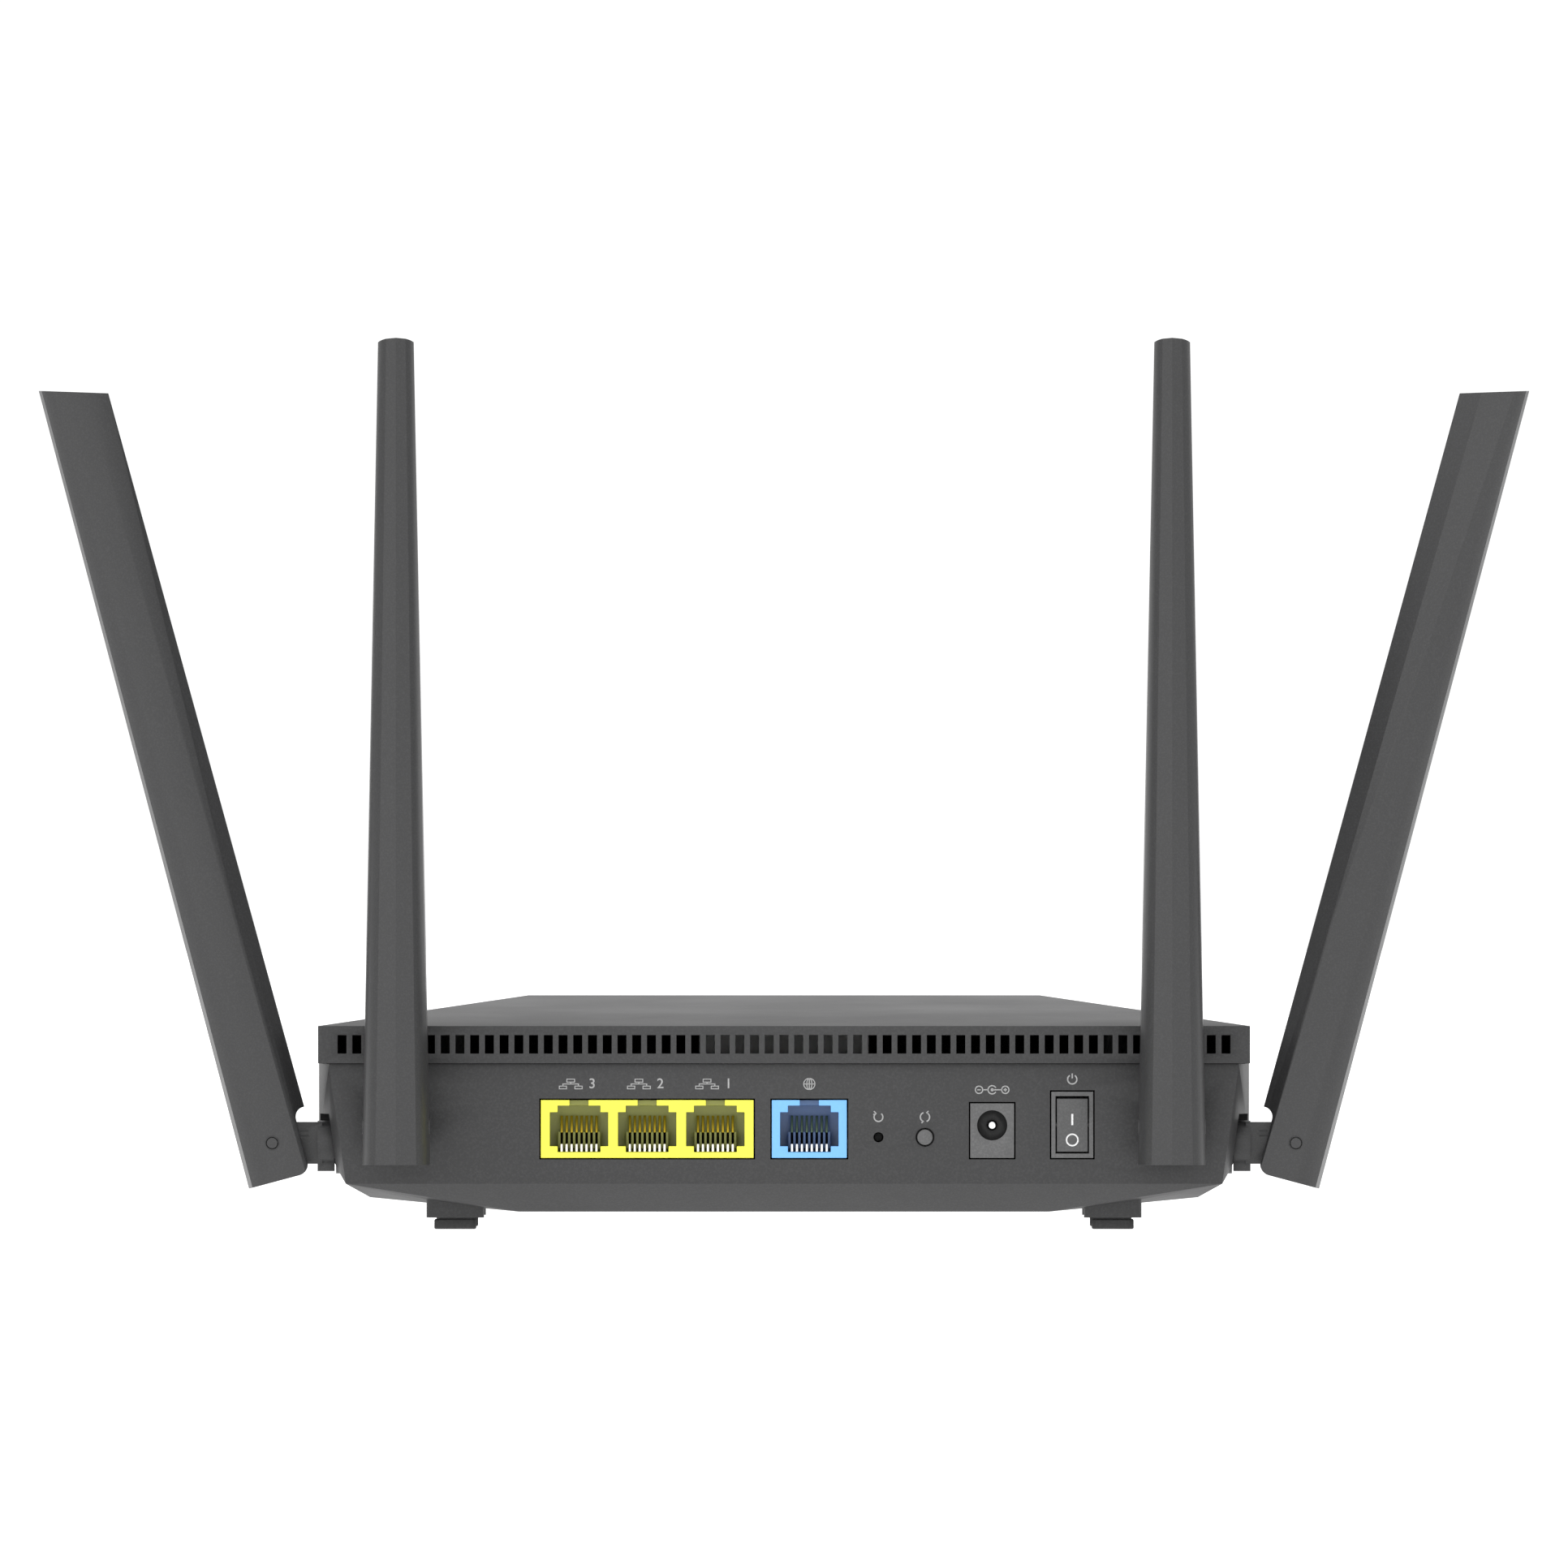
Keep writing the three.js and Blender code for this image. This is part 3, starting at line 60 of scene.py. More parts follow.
def build_camera():
    """Level, straight at the back, from far away."""
    distance = 12.0
    frame_width = 0.322
    sensor = 36.0
    camera = bpy.data.cameras.new("camera")
    camera.sensor_width = sensor
    camera.lens = sensor * distance / frame_width
    camera.clip_end = 100
    seen = bpy.data.objects.new("camera", camera)
    seen.location = (0, PANEL_Y + distance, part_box("antenna_sleeve_rear_right")[1].z / 2)
    seen.rotation_euler = (math.radians(90), 0, math.radians(180))
    bpy.context.collection.objects.link(seen)
    bpy.context.scene.camera = seen


def build_studio():
    """A white tent over a pale floor that is lit from within like a light table. The tent is brightest where
    the back panel faces, a little off centre, and shaded at its two sides."""
    brightest = 0.12
    side_shade = 0.8
    front_light = 1.08
    back_light = 1.6
    world = bpy.data.worlds.new("white_tent")
    bpy.context.scene.world = world
    world.use_nodes = True
    tree = world.node_tree
    direction = tree.nodes.new("ShaderNodeTexCoord")
    split = tree.nodes.new("ShaderNodeSeparateXYZ")
    tree.links.new(direction.outputs["Generated"], split.inputs["Vector"])

    def spread(value, low, high, start, end):
        """A smooth step from start to end, while the value goes from low to high."""
        ramp = tree.nodes.new("ShaderNodeMapRange")
        ramp.interpolation_type = "SMOOTHSTEP"
        places = {"From Min": low, "From Max": high, "To Min": start, "To Max": end}
        for socket, number in places.items():
            ramp.inputs[socket].default_value = number
        tree.links.new(value, ramp.inputs["Value"])
        return ramp.outputs["Result"]

    def combined(operation, first, second):
        node = tree.nodes.new("ShaderNodeMath")
        node.operation = operation
        for socket, value in zip(node.inputs, (first, second)):
            if isinstance(value, (int, float)):
                socket.default_value = value
            else:
                tree.links.new(value, socket)
        return node.outputs[0]

    off_centre = combined("ABSOLUTE", combined("SUBTRACT", split.outputs["X"], brightest), 0)
    at_side = spread(off_centre, 0.25, 0.9, 0, side_shade)
    not_behind = spread(split.outputs["Y"], -0.65, -0.3, 0, 1)
    shade = combined("SUBTRACT", 1, combined("MULTIPLY", at_side, not_behind))
    tent = spread(split.outputs["Y"], -0.3, 0.3, front_light, back_light)
    tree.links.new(combined("MULTIPLY", tent, shade), tree.nodes["Background"].inputs["Strength"])
    tree.nodes["Background"].inputs["Color"].default_value = (1, 1, 1, 1)
    bpy.ops.mesh.primitive_plane_add(size=40)
    floor = bpy.context.active_object
    floor.name = "floor"
    material = bpy.data.materials.new("pale_floor")
    material.use_nodes = True
    shader = material.node_tree.nodes["Principled BSDF"]
    shader.inputs["Base Color"].default_value = (0.4, 0.4, 0.4, 1)
    shader.inputs["Roughness"].default_value = 0.9
    shader.inputs["Specular IOR Level"].default_value = 0
    shader.inputs["Emission Color"].default_value = (1, 1, 1, 1)
    shader.inputs["Emission Strength"].default_value = 1.0
    floor.data.materials.append(material)
    bpy.context.scene.view_settings.view_transform = "Standard"


# ------------------------------------------------------------------ shared surface effects

def new_group(name, inputs, outputs):
    group = bpy.data.node_groups.new(name, "ShaderNodeTree")
    for socket, value in inputs:
        made = group.interface.new_socket(socket, in_out="INPUT", socket_type="NodeSocketFloat")
        made.default_value = value
    for socket in outputs:
        group.interface.new_socket(socket, in_out="OUTPUT", socket_type="NodeSocketFloat")
    return group, group.nodes.new("NodeGroupInput"), group.nodes.new("NodeGroupOutput")


def noise_node(tree, detail, roughness):
    noise = tree.nodes.new("ShaderNodeTexNoise")
    noise.inputs["Detail"].default_value = detail
    noise.inputs["Roughness"].default_value = roughness
    return noise


def math_node(tree, operation, value=None):
    node = tree.nodes.new("ShaderNodeMath")
    node.operation = operation
    if value is not None:
        node.inputs[1].default_value = value
    return node


def part_way(tree, value, start, end):
    """How far a value has come from start to end, from 0 to 1."""
    ramp = tree.nodes.new("ShaderNodeMapRange")
    ramp.inputs["From Min"].default_value = start
    ramp.inputs["From Max"].default_value = end
    tree.links.new(value, ramp.inputs["Value"])
    return ramp.outputs["Result"]


def grain_group():
    """Spark-eroded mould grain: a height from fine pits over a softer orange peel, and a mask of its
    shiny tops."""
    group, given, out = new_group("mould_grain", [("Scale", 2500.0)], ["Height", "Tops"])
    place = group.nodes.new("ShaderNodeTexCoord")
    fine = noise_node(group, 3, 0.6)
    peel = noise_node(group, 1, 0.5)
    coarser = math_node(group, "MULTIPLY", 0.22)
    mix = math_node(group, "MULTIPLY_ADD", 0.7)
    link = group.links.new
    for noise in (fine, peel):
        link(place.outputs["Object"], noise.inputs["Vector"])
    link(given.outputs["Scale"], fine.inputs["Scale"])
    link(given.outputs["Scale"], coarser.inputs[0])
    link(coarser.outputs[0], peel.inputs["Scale"])
    link(fine.outputs["Fac"], mix.inputs[0])
    link(peel.outputs["Fac"], mix.inputs[2])
    link(mix.outputs[0], out.inputs["Height"])
    link(part_way(group, fine.outputs["Fac"], 0.45, 0.68), out.inputs["Tops"])
    return group


def handling_group():
    """Faint cloudy marks of handling and uneven cooling, from 0 to 1."""
    group, given, out = new_group("handling_marks", [("Scale", 30.0)], ["Marks"])
    place = group.nodes.new("ShaderNodeTexCoord")
    cloud = noise_node(group, 4, 0.55)
    link = group.links.new
    link(place.outputs["Object"], cloud.inputs["Vector"])
    link(given.outputs["Scale"], cloud.inputs["Scale"])
    link(part_way(group, cloud.outputs["Fac"], 0.35, 0.7), out.inputs["Marks"])
    return group


def wear_group():
    """Where the rounded edges of a piece are lightened, from 0 to 1: its edge faces, broken up by a cloud.
    Partly scuffing, partly a painted edge highlight.
    """
    group, given, out = new_group("edge_wear_and_highlight", [("Amount", 0.5)], ["Wear"])
    place = group.nodes.new("ShaderNodeTexCoord")
    edge = group.nodes.new("ShaderNodeAttribute")
    edge.attribute_name = "edge"
    cloud = noise_node(group, 3, 0.6)
    cloud.inputs["Scale"].default_value = 220
    on_edge = math_node(group, "MULTIPLY")
    scaled = math_node(group, "MULTIPLY")
    link = group.links.new
    link(place.outputs["Object"], cloud.inputs["Vector"])
    link(part_way(group, cloud.outputs["Fac"], 0.4, 0.62), on_edge.inputs[0])
    link(edge.outputs["Fac"], on_edge.inputs[1])
    link(on_edge.outputs[0], scaled.inputs[0])
    link(given.outputs["Amount"], scaled.inputs[1])
    link(scaled.outputs[0], out.inputs["Wear"])
    return group


GRAIN = grain_group()
MARKS = handling_group()
WEAR_AND_HIGHLIGHT = wear_group()


def place_group(tree, group, **values):
    node = tree.nodes.new("ShaderNodeGroup")
    node.node_tree = group
    for socket, value in values.items():
        node.inputs[socket].default_value = value
    return node


def shaded(name):
    material = bpy.data.materials.new(name)
    material.use_nodes = True
    tree = material.node_tree
    return material, tree, tree.nodes["Principled BSDF"]


def colour_between(tree, factor, low, high):
    """A blend of two colours, each given as its three parts or as another node's output."""
    mix = tree.nodes.new("ShaderNodeMix")
    mix.data_type = "RGBA"
    for socket, colour in (("A", low), ("B", high)):
        if isinstance(colour, tuple):
            mix.inputs[socket].default_value = (*colour, 1)
        else:
            tree.links.new(colour, mix.inputs[socket])
    tree.links.new(factor, mix.inputs["Factor"])
    return mix.outputs["Result"]


def value_between(tree, factor, low, high):
    """A number that goes from low to high, while the factor goes from 0 to 1."""
    ramp = tree.nodes.new("ShaderNodeMapRange")
    ramp.inputs["To Min"].default_value = low
    ramp.inputs["To Max"].default_value = high
    tree.links.new(factor, ramp.inputs["Value"])
    return ramp.outputs["Result"]


def bumped(tree, shader, height, strength, distance):
    bump = tree.nodes.new("ShaderNodeBump")
    bump.inputs["Strength"].default_value = strength
    bump.inputs["Distance"].default_value = distance
    tree.links.new(height, bump.inputs["Height"])
    tree.links.new(bump.outputs["Normal"], shader.inputs["Normal"])


def moulded_plastic(name, colour, roughness, grain=2500.0, depth=0.25, specular=0.5, mottle=0.14):
    """Grained moulded plastic: lighter on the tops of its grain and along its rounded edges, where the
    lightening is partly scuffing and partly a painted edge highlight, and a little uneven in gloss."""
    material, tree, shader = shaded(name)
    pits = place_group(tree, GRAIN, Scale=grain)
    marks = place_group(tree, MARKS, Scale=28.0)
    wear_and_highlight = place_group(tree, WEAR_AND_HIGHLIGHT, Amount=0.35)
    dark = tuple((1 - mottle) * part for part in colour)
    light = tuple(min(1, (1 + mottle) * part) for part in colour)
    # painted edge highlight: the rounded edges are lightened, partly as scuffing
    rubbed_and_highlit = tuple(0.75 * part + 0.05 for part in colour)
    grained = colour_between(tree, pits.outputs["Tops"], dark, light)
    worn_and_highlit = colour_between(tree, wear_and_highlight.outputs["Wear"], grained, rubbed_and_highlit)
    tree.links.new(worn_and_highlit, shader.inputs["Base Color"])
    gloss = value_between(tree, marks.outputs["Marks"], roughness + 0.03, roughness - 0.04)
    tree.links.new(gloss, shader.inputs["Roughness"])
    shader.inputs["Specular IOR Level"].default_value = specular
    bumped(tree, shader, pits.outputs["Height"], depth, 0.0001)
    return material


def port_plastic(name, face, inner_shade):
    """Plastic of a plug socket: bright on its face, with painted shade inside the port, duller from a little
    way in and darkest low down in it."""
    shade_starts = PANEL_Y - 0.5 * MM
    shade_full = PANEL_Y - 3.5 * MM
    darkest = 16.5 * MM
    lightest = 25.5 * MM
    material = moulded_plastic(name, face, 0.38, grain=1800.0, depth=0.04, mottle=0.02)
    tree = material.node_tree
    shader = tree.nodes["Principled BSDF"]
    outside = shader.inputs["Base Color"].links[0].from_socket
    place = tree.nodes.new("ShaderNodeTexCoord")
    split = tree.nodes.new("ShaderNodeSeparateXYZ")
    tree.links.new(place.outputs["Object"], split.inputs["Vector"])
    # painted shade: the colour darkens from the face into the port, and more so low down
    inside = part_way(tree, split.outputs["Y"], shade_starts, shade_full)
    height = part_way(tree, split.outputs["Z"], darkest, lightest)
    low = tuple(0.6 * part for part in inner_shade)
    shadow = colour_between(tree, height, low, inner_shade)
    tree.links.new(colour_between(tree, inside, outside, shadow), shader.inputs["Base Color"])
    return material


def worked_metal(name, colour, roughness, grain=1800.0, depth=0.08):
    """Plated or rolled metal with a faint tooth and cloudy gloss."""
    material, tree, shader = shaded(name)
    tooth = place_group(tree, GRAIN, Scale=grain)
    marks = place_group(tree, MARKS, Scale=160.0)
    dark = tuple(0.8 * part for part in colour)
    tree.links.new(colour_between(tree, marks.outputs["Marks"], dark, colour), shader.inputs["Base Color"])
    gloss = value_between(tree, marks.outputs["Marks"], roughness + 0.08, roughness - 0.05)
    tree.links.new(gloss, shader.inputs["Roughness"])
    shader.inputs["Metallic"].default_value = 1
    bumped(tree, shader, tooth.outputs["Height"], depth, 0.00005)
    return material


def printed_ink(name, colour):
    """Pad-printed ink: flat, slightly thin where the grain's pits are."""
    material, tree, shader = shaded(name)
    pits = place_group(tree, GRAIN, Scale=2200.0)
    thin = tuple(0.82 * part for part in colour)
    tree.links.new(colour_between(tree, pits.outputs["Tops"], thin, colour), shader.inputs["Base Color"])
    shader.inputs["Roughness"].default_value = 0.6
    bumped(tree, shader, pits.outputs["Height"], 0.15, 0.00005)
    return material


def solder_mask(name):
    """Green board lacquer over copper tracks that show as slightly lighter straight runs."""
    material, tree, shader = shaded(name)
    place = tree.nodes.new("ShaderNodeTexCoord")
    tracks = tree.nodes.new("ShaderNodeTexBrick")
    tracks.inputs["Color1"].default_value = (0.012, 0.1, 0.045, 1)
    tracks.inputs["Color2"].default_value = (0.02, 0.15, 0.07, 1)
    tracks.inputs["Mortar"].default_value = (0.03, 0.2, 0.09, 1)
    tracks.inputs["Scale"].default_value = 90
    tracks.inputs["Mortar Size"].default_value = 0.03
    tree.links.new(place.outputs["Object"], tracks.inputs["Vector"])
    tree.links.new(tracks.outputs["Color"], shader.inputs["Base Color"])
    tree.links.new(value_between(tree, tracks.outputs["Fac"], 0.35, 0.28), shader.inputs["Roughness"])
    bumped(tree, shader, tracks.outputs["Fac"], 0.3, 0.00003)
    return material


def clear_guide(name):
    """Acrylic of the light guide: smooth, with a cloudy body that light passes a little way into."""
    material, tree, shader = shaded(name)
    marks = place_group(tree, MARKS, Scale=60.0)
    milky = colour_between(tree, marks.outputs["Marks"], (0.28, 0.3, 0.31), (0.36, 0.38, 0.39))
    tree.links.new(milky, shader.inputs["Base Color"])
    shader.inputs["Roughness"].default_value = 0.12
    shader.inputs["Subsurface Weight"].default_value = 0.3
    shader.inputs["Subsurface Radius"].default_value = (0.004, 0.004, 0.004)
    bumped(tree, shader, marks.outputs["Marks"], 0.05, 0.00005)
    return material


CASE = moulded_plastic("case_plastic", (0.044, 0.044, 0.045), 0.5, grain=2400.0, depth=0.3, specular=0.4)
ANTENNA = moulded_plastic("antenna_plastic", (0.041, 0.041, 0.042), 0.36, grain=2800.0, depth=0.12)
KNUCKLE = moulded_plastic("knuckle_plastic", (0.04, 0.04, 0.041), 0.42, grain=2800.0, depth=0.15)
RUBBER = moulded_plastic("foot_rubber", (0.046, 0.046, 0.046), 0.7, grain=1500.0, depth=0.5, specular=0.4)
# the second colour of each socket plastic is painted shade for the inside of its ports
LAN_YELLOW = port_plastic("lan_plastic", (0.98, 0.95, 0.08), (0.52, 0.54, 0.15))
WAN_BLUE = port_plastic("wan_plastic", (0.2, 0.52, 0.97), (0.18, 0.3, 0.55))
CONTROL = moulded_plastic("control_plastic", (0.115, 0.115, 0.116), 0.42, grain=2600.0, depth=0.18)
ROCKER = moulded_plastic("rocker_plastic", (0.085, 0.085, 0.086), 0.38, grain=2600.0, depth=0.12)
BORE = moulded_plastic("bore_plastic", (0.03, 0.03, 0.03), 0.5, grain=2000.0, depth=0.15)
# painted shadow: a near-black that stands for the shade deep in the comb's slots
SLOT_SHADOW = moulded_plastic(
    "slot_shadow", (0.002, 0.002, 0.002), 0.85, grain=2000.0, depth=0.1, specular=0.05
)
BLACK = moulded_plastic("black_plastic", (0.008, 0.008, 0.008), 0.5, grain=2000.0, depth=0.15)
GOLD = worked_metal("contact_gold", (0.5, 0.36, 0.03), 0.35)
# painted shade: the same gold contacts, darkened and greenish where they lie deep in the blue socket
SHADED_GOLD = worked_metal("contact_gold_shaded", (0.14, 0.2, 0.13), 0.45)
# painted highlight: the gold contacts' front ends in near-white metal, for the white reflection they catch
HIGHLIT_TIPS = worked_metal("contact_tips_highlit", (0.99, 0.97, 0.93), 0.25)
STEEL = worked_metal("plated_steel", (0.62, 0.63, 0.65), 0.3)
NICKEL = worked_metal("pin_nickel", (0.93, 0.94, 0.95), 0.16)
TINNED = worked_metal("tinned_sheet", (0.55, 0.56, 0.57), 0.38)
ALUMINIUM = worked_metal("sink_aluminium", (0.66, 0.67, 0.69), 0.42, grain=900.0, depth=0.15)
BOARD = solder_mask("board_laminate")
CLEAR = clear_guide("guide_clear")
LEAD = moulded_plastic("lead_jacket", (0.07, 0.07, 0.072), 0.5, grain=1600.0, depth=0.1)
INK = printed_ink("print_grey", (0.44, 0.44, 0.44))
WHITE_INK = printed_ink("print_white", (0.95, 0.95, 0.95))


def finish_nodes(material, *nodes):
    for node in nodes:
        mesh = NODES[node].data
        mesh.materials.clear()
        mesh.materials.append(material)


# ------------------------------------------------------------------ making pieces

def only(piece):
    bpy.ops.object.select_all(action="DESELECT")
    piece.select_set(True)
    bpy.context.view_layer.objects.active = piece


def put_down(piece):
    """Leaves the piece's object at the origin, with its place in its mesh."""
    only(piece)
    bpy.ops.object.transform_apply(location=True, rotation=True, scale=True)


def merged_copy(node, name):
    """A copy of a CAD node with its triangles joined into clean faces, ready to be shaped."""
    piece = bpy.data.objects.new(name, NODES[node].data.copy())
    piece.data.name = name
    bpy.context.collection.objects.link(piece)
    only(piece)
    bpy.ops.object.mode_set(mode="EDIT")
    bpy.ops.mesh.select_all(action="SELECT")
    bpy.ops.mesh.remove_doubles(threshold=0.000002)
    bpy.ops.mesh.dissolve_limited(angle_limit=math.radians(1))
    bpy.ops.object.mode_set(mode="OBJECT")
    return piece


def soften(piece, width, angle=25, segments=2, smooth=35):
    """Rounds every edge sharper than the angle, smooths the shading between, and marks the rounded edges,
    which the plastic lightens as scuffing and as a painted edge highlight."""
    only(piece)
    mesh = piece.data
    mesh.materials.clear()
    for _ in range(2):
        mesh.materials.append(None)
    bevel = piece.modifiers.new("edge", "BEVEL")
    bevel.width = width
    bevel.segments = segments
    bevel.limit_method = "ANGLE"
    bevel.angle_limit = math.radians(angle)
    bevel.material = 1
    bpy.ops.object.modifier_apply(modifier=bevel.name)
    edge = mesh.attributes.new("edge", "FLOAT", "FACE")
    edge.data.foreach_set("value", [float(face.material_index) for face in mesh.polygons])
    for face in mesh.polygons:
        face.material_index = 0
    bpy.ops.object.shade_smooth_by_angle(angle=math.radians(smooth))


def crisp_facets(piece):
    """Keeps each broad facet flat in its shading, up to the edge it shares with the next broad facet."""
    broad = 40 * MM * MM
    least_turn = math.radians(4)
    mesh = piece.data
    faces_at = {}
    for face in mesh.polygons:
        if face.area > broad:
            for key in face.edge_keys:
                faces_at.setdefault(key, []).append(face.normal)
    for edge in mesh.edges:
        normals = faces_at.get(edge.key, [])
        if len(normals) == 2 and normals[0].angle(normals[1]) > least_turn:
            edge.use_edge_sharp = True


def hand_over(piece, material, body, slot, *replaced):
    """Gives a piece its finish and the body it moves with, and hides the CAD nodes that it stands for."""
    piece.data.materials.clear()
    piece.data.materials.append(material)
    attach(piece, body)
    if replaced:
        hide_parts(*replaced)


def block(name, low, high):
    """A plain block between two corners, to be shaped further."""
    bpy.ops.object.select_all(action="DESELECT")
    low, high = Vector(low), Vector(high)
    bpy.ops.mesh.primitive_cube_add(size=1, location=(low + high) / 2)
    piece = bpy.context.active_object
    piece.name = piece.data.name = name
    piece.scale = high - low
    put_down(piece)
    return piece


def bar(name, radius, start, end, sides=40):
    """A round bar between two points."""
    bpy.ops.object.select_all(action="DESELECT")
    start, end = Vector(start), Vector(end)
    along = end - start
    middle = (start + end) / 2
    bpy.ops.mesh.primitive_cylinder_add(vertices=sides, radius=radius, depth=along.length, location=middle)
    piece = bpy.context.active_object
    piece.name = piece.data.name = name
    piece.rotation_euler = along.to_track_quat("Z", "Y").to_euler()
    put_down(piece)
    return piece


def bent_strip(name, path, width, thickness):
    """A strip that follows a path of points in a plane across X, its width along X."""
    bpy.ops.object.select_all(action="DESELECT")
    bpy.ops.mesh.primitive_plane_add(size=width, location=path[0])
    piece = bpy.context.active_object
    piece.name = piece.data.name = name
    put_down(piece)
    bpy.ops.object.mode_set(mode="EDIT")
    bpy.ops.mesh.select_all(action="SELECT")
    bpy.ops.mesh.merge(type="CENTER")
    for here, there in zip(path, path[1:]):
        step = Vector(there) - Vector(here)
        bpy.ops.mesh.extrude_region_move(TRANSFORM_OT_translate={"value": step})
    bpy.ops.mesh.select_all(action="SELECT")
    bpy.ops.mesh.extrude_region_move(TRANSFORM_OT_translate={"value": (width, 0, 0)})
    bpy.ops.mesh.select_all(action="SELECT")
    bpy.ops.transform.translate(value=(-width / 2, 0, 0))
    bpy.ops.object.mode_set(mode="OBJECT")
    sheet = piece.modifiers.new("thickness", "SOLIDIFY")
    sheet.thickness = thickness
    sheet.offset = 0
    bpy.ops.object.modifier_apply(modifier=sheet.name)
    bpy.ops.object.mode_set(mode="EDIT")
    bpy.ops.mesh.select_all(action="SELECT")
    bpy.ops.mesh.normals_make_consistent(inside=False)
    bpy.ops.object.mode_set(mode="OBJECT")
    return piece


def repeat(piece, count, step):
    """A straight row of copies of the piece, as one piece."""
    only(piece)
    row = piece.modifiers.new("row", "ARRAY")
    row.count = count
    row.use_relative_offset = False
    row.use_constant_offset = True
    row.constant_offset_displace = step
    bpy.ops.object.modifier_apply(modifier=row.name)


def joined(name, pieces):
    bpy.ops.object.select_all(action="DESELECT")
    for piece in pieces:
        piece.select_set(True)
    bpy.context.view_layer.objects.active = pieces[0]
    bpy.ops.object.join()
    pieces[0].name = pieces[0].data.name = name
    return pieces[0]


def cut_away(piece, cutter):
    only(piece)
    cut = piece.modifiers.new("cut", "BOOLEAN")
    cut.operation = "DIFFERENCE"
    cut.solver = "EXACT"
    cut.object = cutter
    bpy.ops.object.modifier_apply(modifier=cut.name)
    bpy.data.objects.remove(cutter)


# ------------------------------------------------------------------ case

def close_seam(cover):
    """Lowers the cover's outer rim, so that only a hairline is left between it and the case."""
    rim = 34.3 * MM
    drop = 0.18 * MM
    for element in (*cover.data.polygons, *cover.data.edges):
        element.select = False
    for vertex in cover.data.vertices:
        vertex.select = abs(vertex.co.z - rim) < 0.02 * MM
    only(cover)
    bpy.ops.object.mode_set(mode="EDIT")
    bpy.ops.transform.translate(value=(0, 0, -drop))
    bpy.ops.object.mode_set(mode="OBJECT")


def build_case():
    cover = merged_copy("top_cover", "cover_shell")
    close_seam(cover)
    soften(cover, width=0.25 * MM)
    crisp_facets(cover)
    hand_over(cover, CASE, "housing", "case_plastic", "top_cover")
    base = merged_copy("bottom_case", "case_shell")
    soften(base, width=0.25 * MM)
    crisp_facets(base)
    hand_over(base, CASE, "housing", "case_plastic", "bottom_case")


def build_feet():
    for foot in FEET:
        pad = merged_copy(f"rubber_foot_{foot}", f"foot_pad_{foot}")
        soften(pad, width=0.3 * MM, angle=40)
        hand_over(pad, RUBBER, "housing", "foot_rubber", f"rubber_foot_{foot}")


# ------------------------------------------------------------------ antennas

def knuckle_frame(name):
    """Place and turn of an antenna's fold pin: X along the pin, Y away from the case."""
    turn = {"side_right": -90, "side_left": 90}.get(name, 0)
    pin = Vector(JOINTS[f"fold_{name}"]["pos_m"])
    return Matrix.Translation(pin) @ Matrix.Rotation(math.radians(turn), 4, "Z")


def fold_pin(name):
    """A plain dark pin. Its two heads fill the holes in the sleeve, and a thin ring is cut into each face."""
    low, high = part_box(f"fold_pin_{name}")
    middle = (low + high) / 2
    along = Vector((1, 0, 0)) if "rear" in name else Vector((0, 1, 0))
    shank_radius = 1.24 * MM
    head_radius = 1.45 * MM
    ring_outer = 1.3 * MM
    ring_inner = 1.08 * MM
    end = 6.93 * MM
    shank_end = end - 1.4 * MM
    ring_floor = end - 1.2 * MM

    def out(side, distance):
        """The point on the pin's axis that is this far from its middle."""
        return middle + side * distance * along

    parts = [bar(f"pin_{name}", shank_radius, out(-1, shank_end), out(1, shank_end))]
    for side in (-1, 1):
        head = bar("head", head_radius, out(side, 3.6 * MM), out(side, end))
        ring_cut = bar("ring", ring_outer, out(side, ring_floor), out(side, 8 * MM))
        cut_away(ring_cut, bar("core", ring_inner, out(side, 5 * MM), out(side, 9 * MM)))
        cut_away(head, ring_cut)
        parts.append(head)
    pin = joined(f"pin_{name}", parts)
    soften(pin, width=0.03 * MM, angle=60, segments=1)
    hand_over(pin, ANTENNA, f"antenna_{name}", "antenna_plastic", f"fold_pin_{name}")


def knuckle(name):
    """The turning base, with two short grip grooves on each side of its tongue."""
    base = merged_copy(f"antenna_knuckle_{name}", f"knuckle_{name}")
    cheek = 3
    depth = 0.25
    half_width = 0.13
    start, end = -7.5, -5.8
    grooves = []
    for side in (-1, 1):
        for height in (1.45, 2.45):
            low = Vector((side * cheek - depth, start, height - half_width)) * MM
            high = Vector((side * cheek + depth, end, height + half_width)) * MM
            grooves.append(block("groove", low, high))
    cutter = joined("grooves", grooves)
    cutter.data.transform(knuckle_frame(name))
    cut_away(base, cutter)
    soften(base, width=0.18 * MM, angle=40)
    hand_over(base, KNUCKLE, f"knuckle_{name}", "knuckle_plastic", f"antenna_knuckle_{name}")


def build_antennas():
    for name in ANTENNAS:
        sleeve = merged_copy(f"antenna_sleeve_{name}", f"sleeve_{name}")
        soften(sleeve, width=0.12 * MM, angle=40, smooth=17)
        hand_over(sleeve, ANTENNA, f"antenna_{name}", "antenna_plastic", f"antenna_sleeve_{name}")
        fold_pin(name)
        knuckle(name)


# ------------------------------------------------------------------ sockets and controls

SOCKET_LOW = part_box("wan_socket")[0].z
PORT_FLOOR = SOCKET_LOW + 2.4 * MM
CONTACTS = 8
PITCH = 1.02 * MM
WIRE_WIDTH = 0.5 * MM
WIRE_THICKNESS = 0.3 * MM
FINE_EDGE = 0.06 * MM


def behind(depth, x=0.0, z=0.0):
    """A point this many millimetres in from the back panel's face."""
    return Vector((x, PANEL_Y - depth * MM, z))


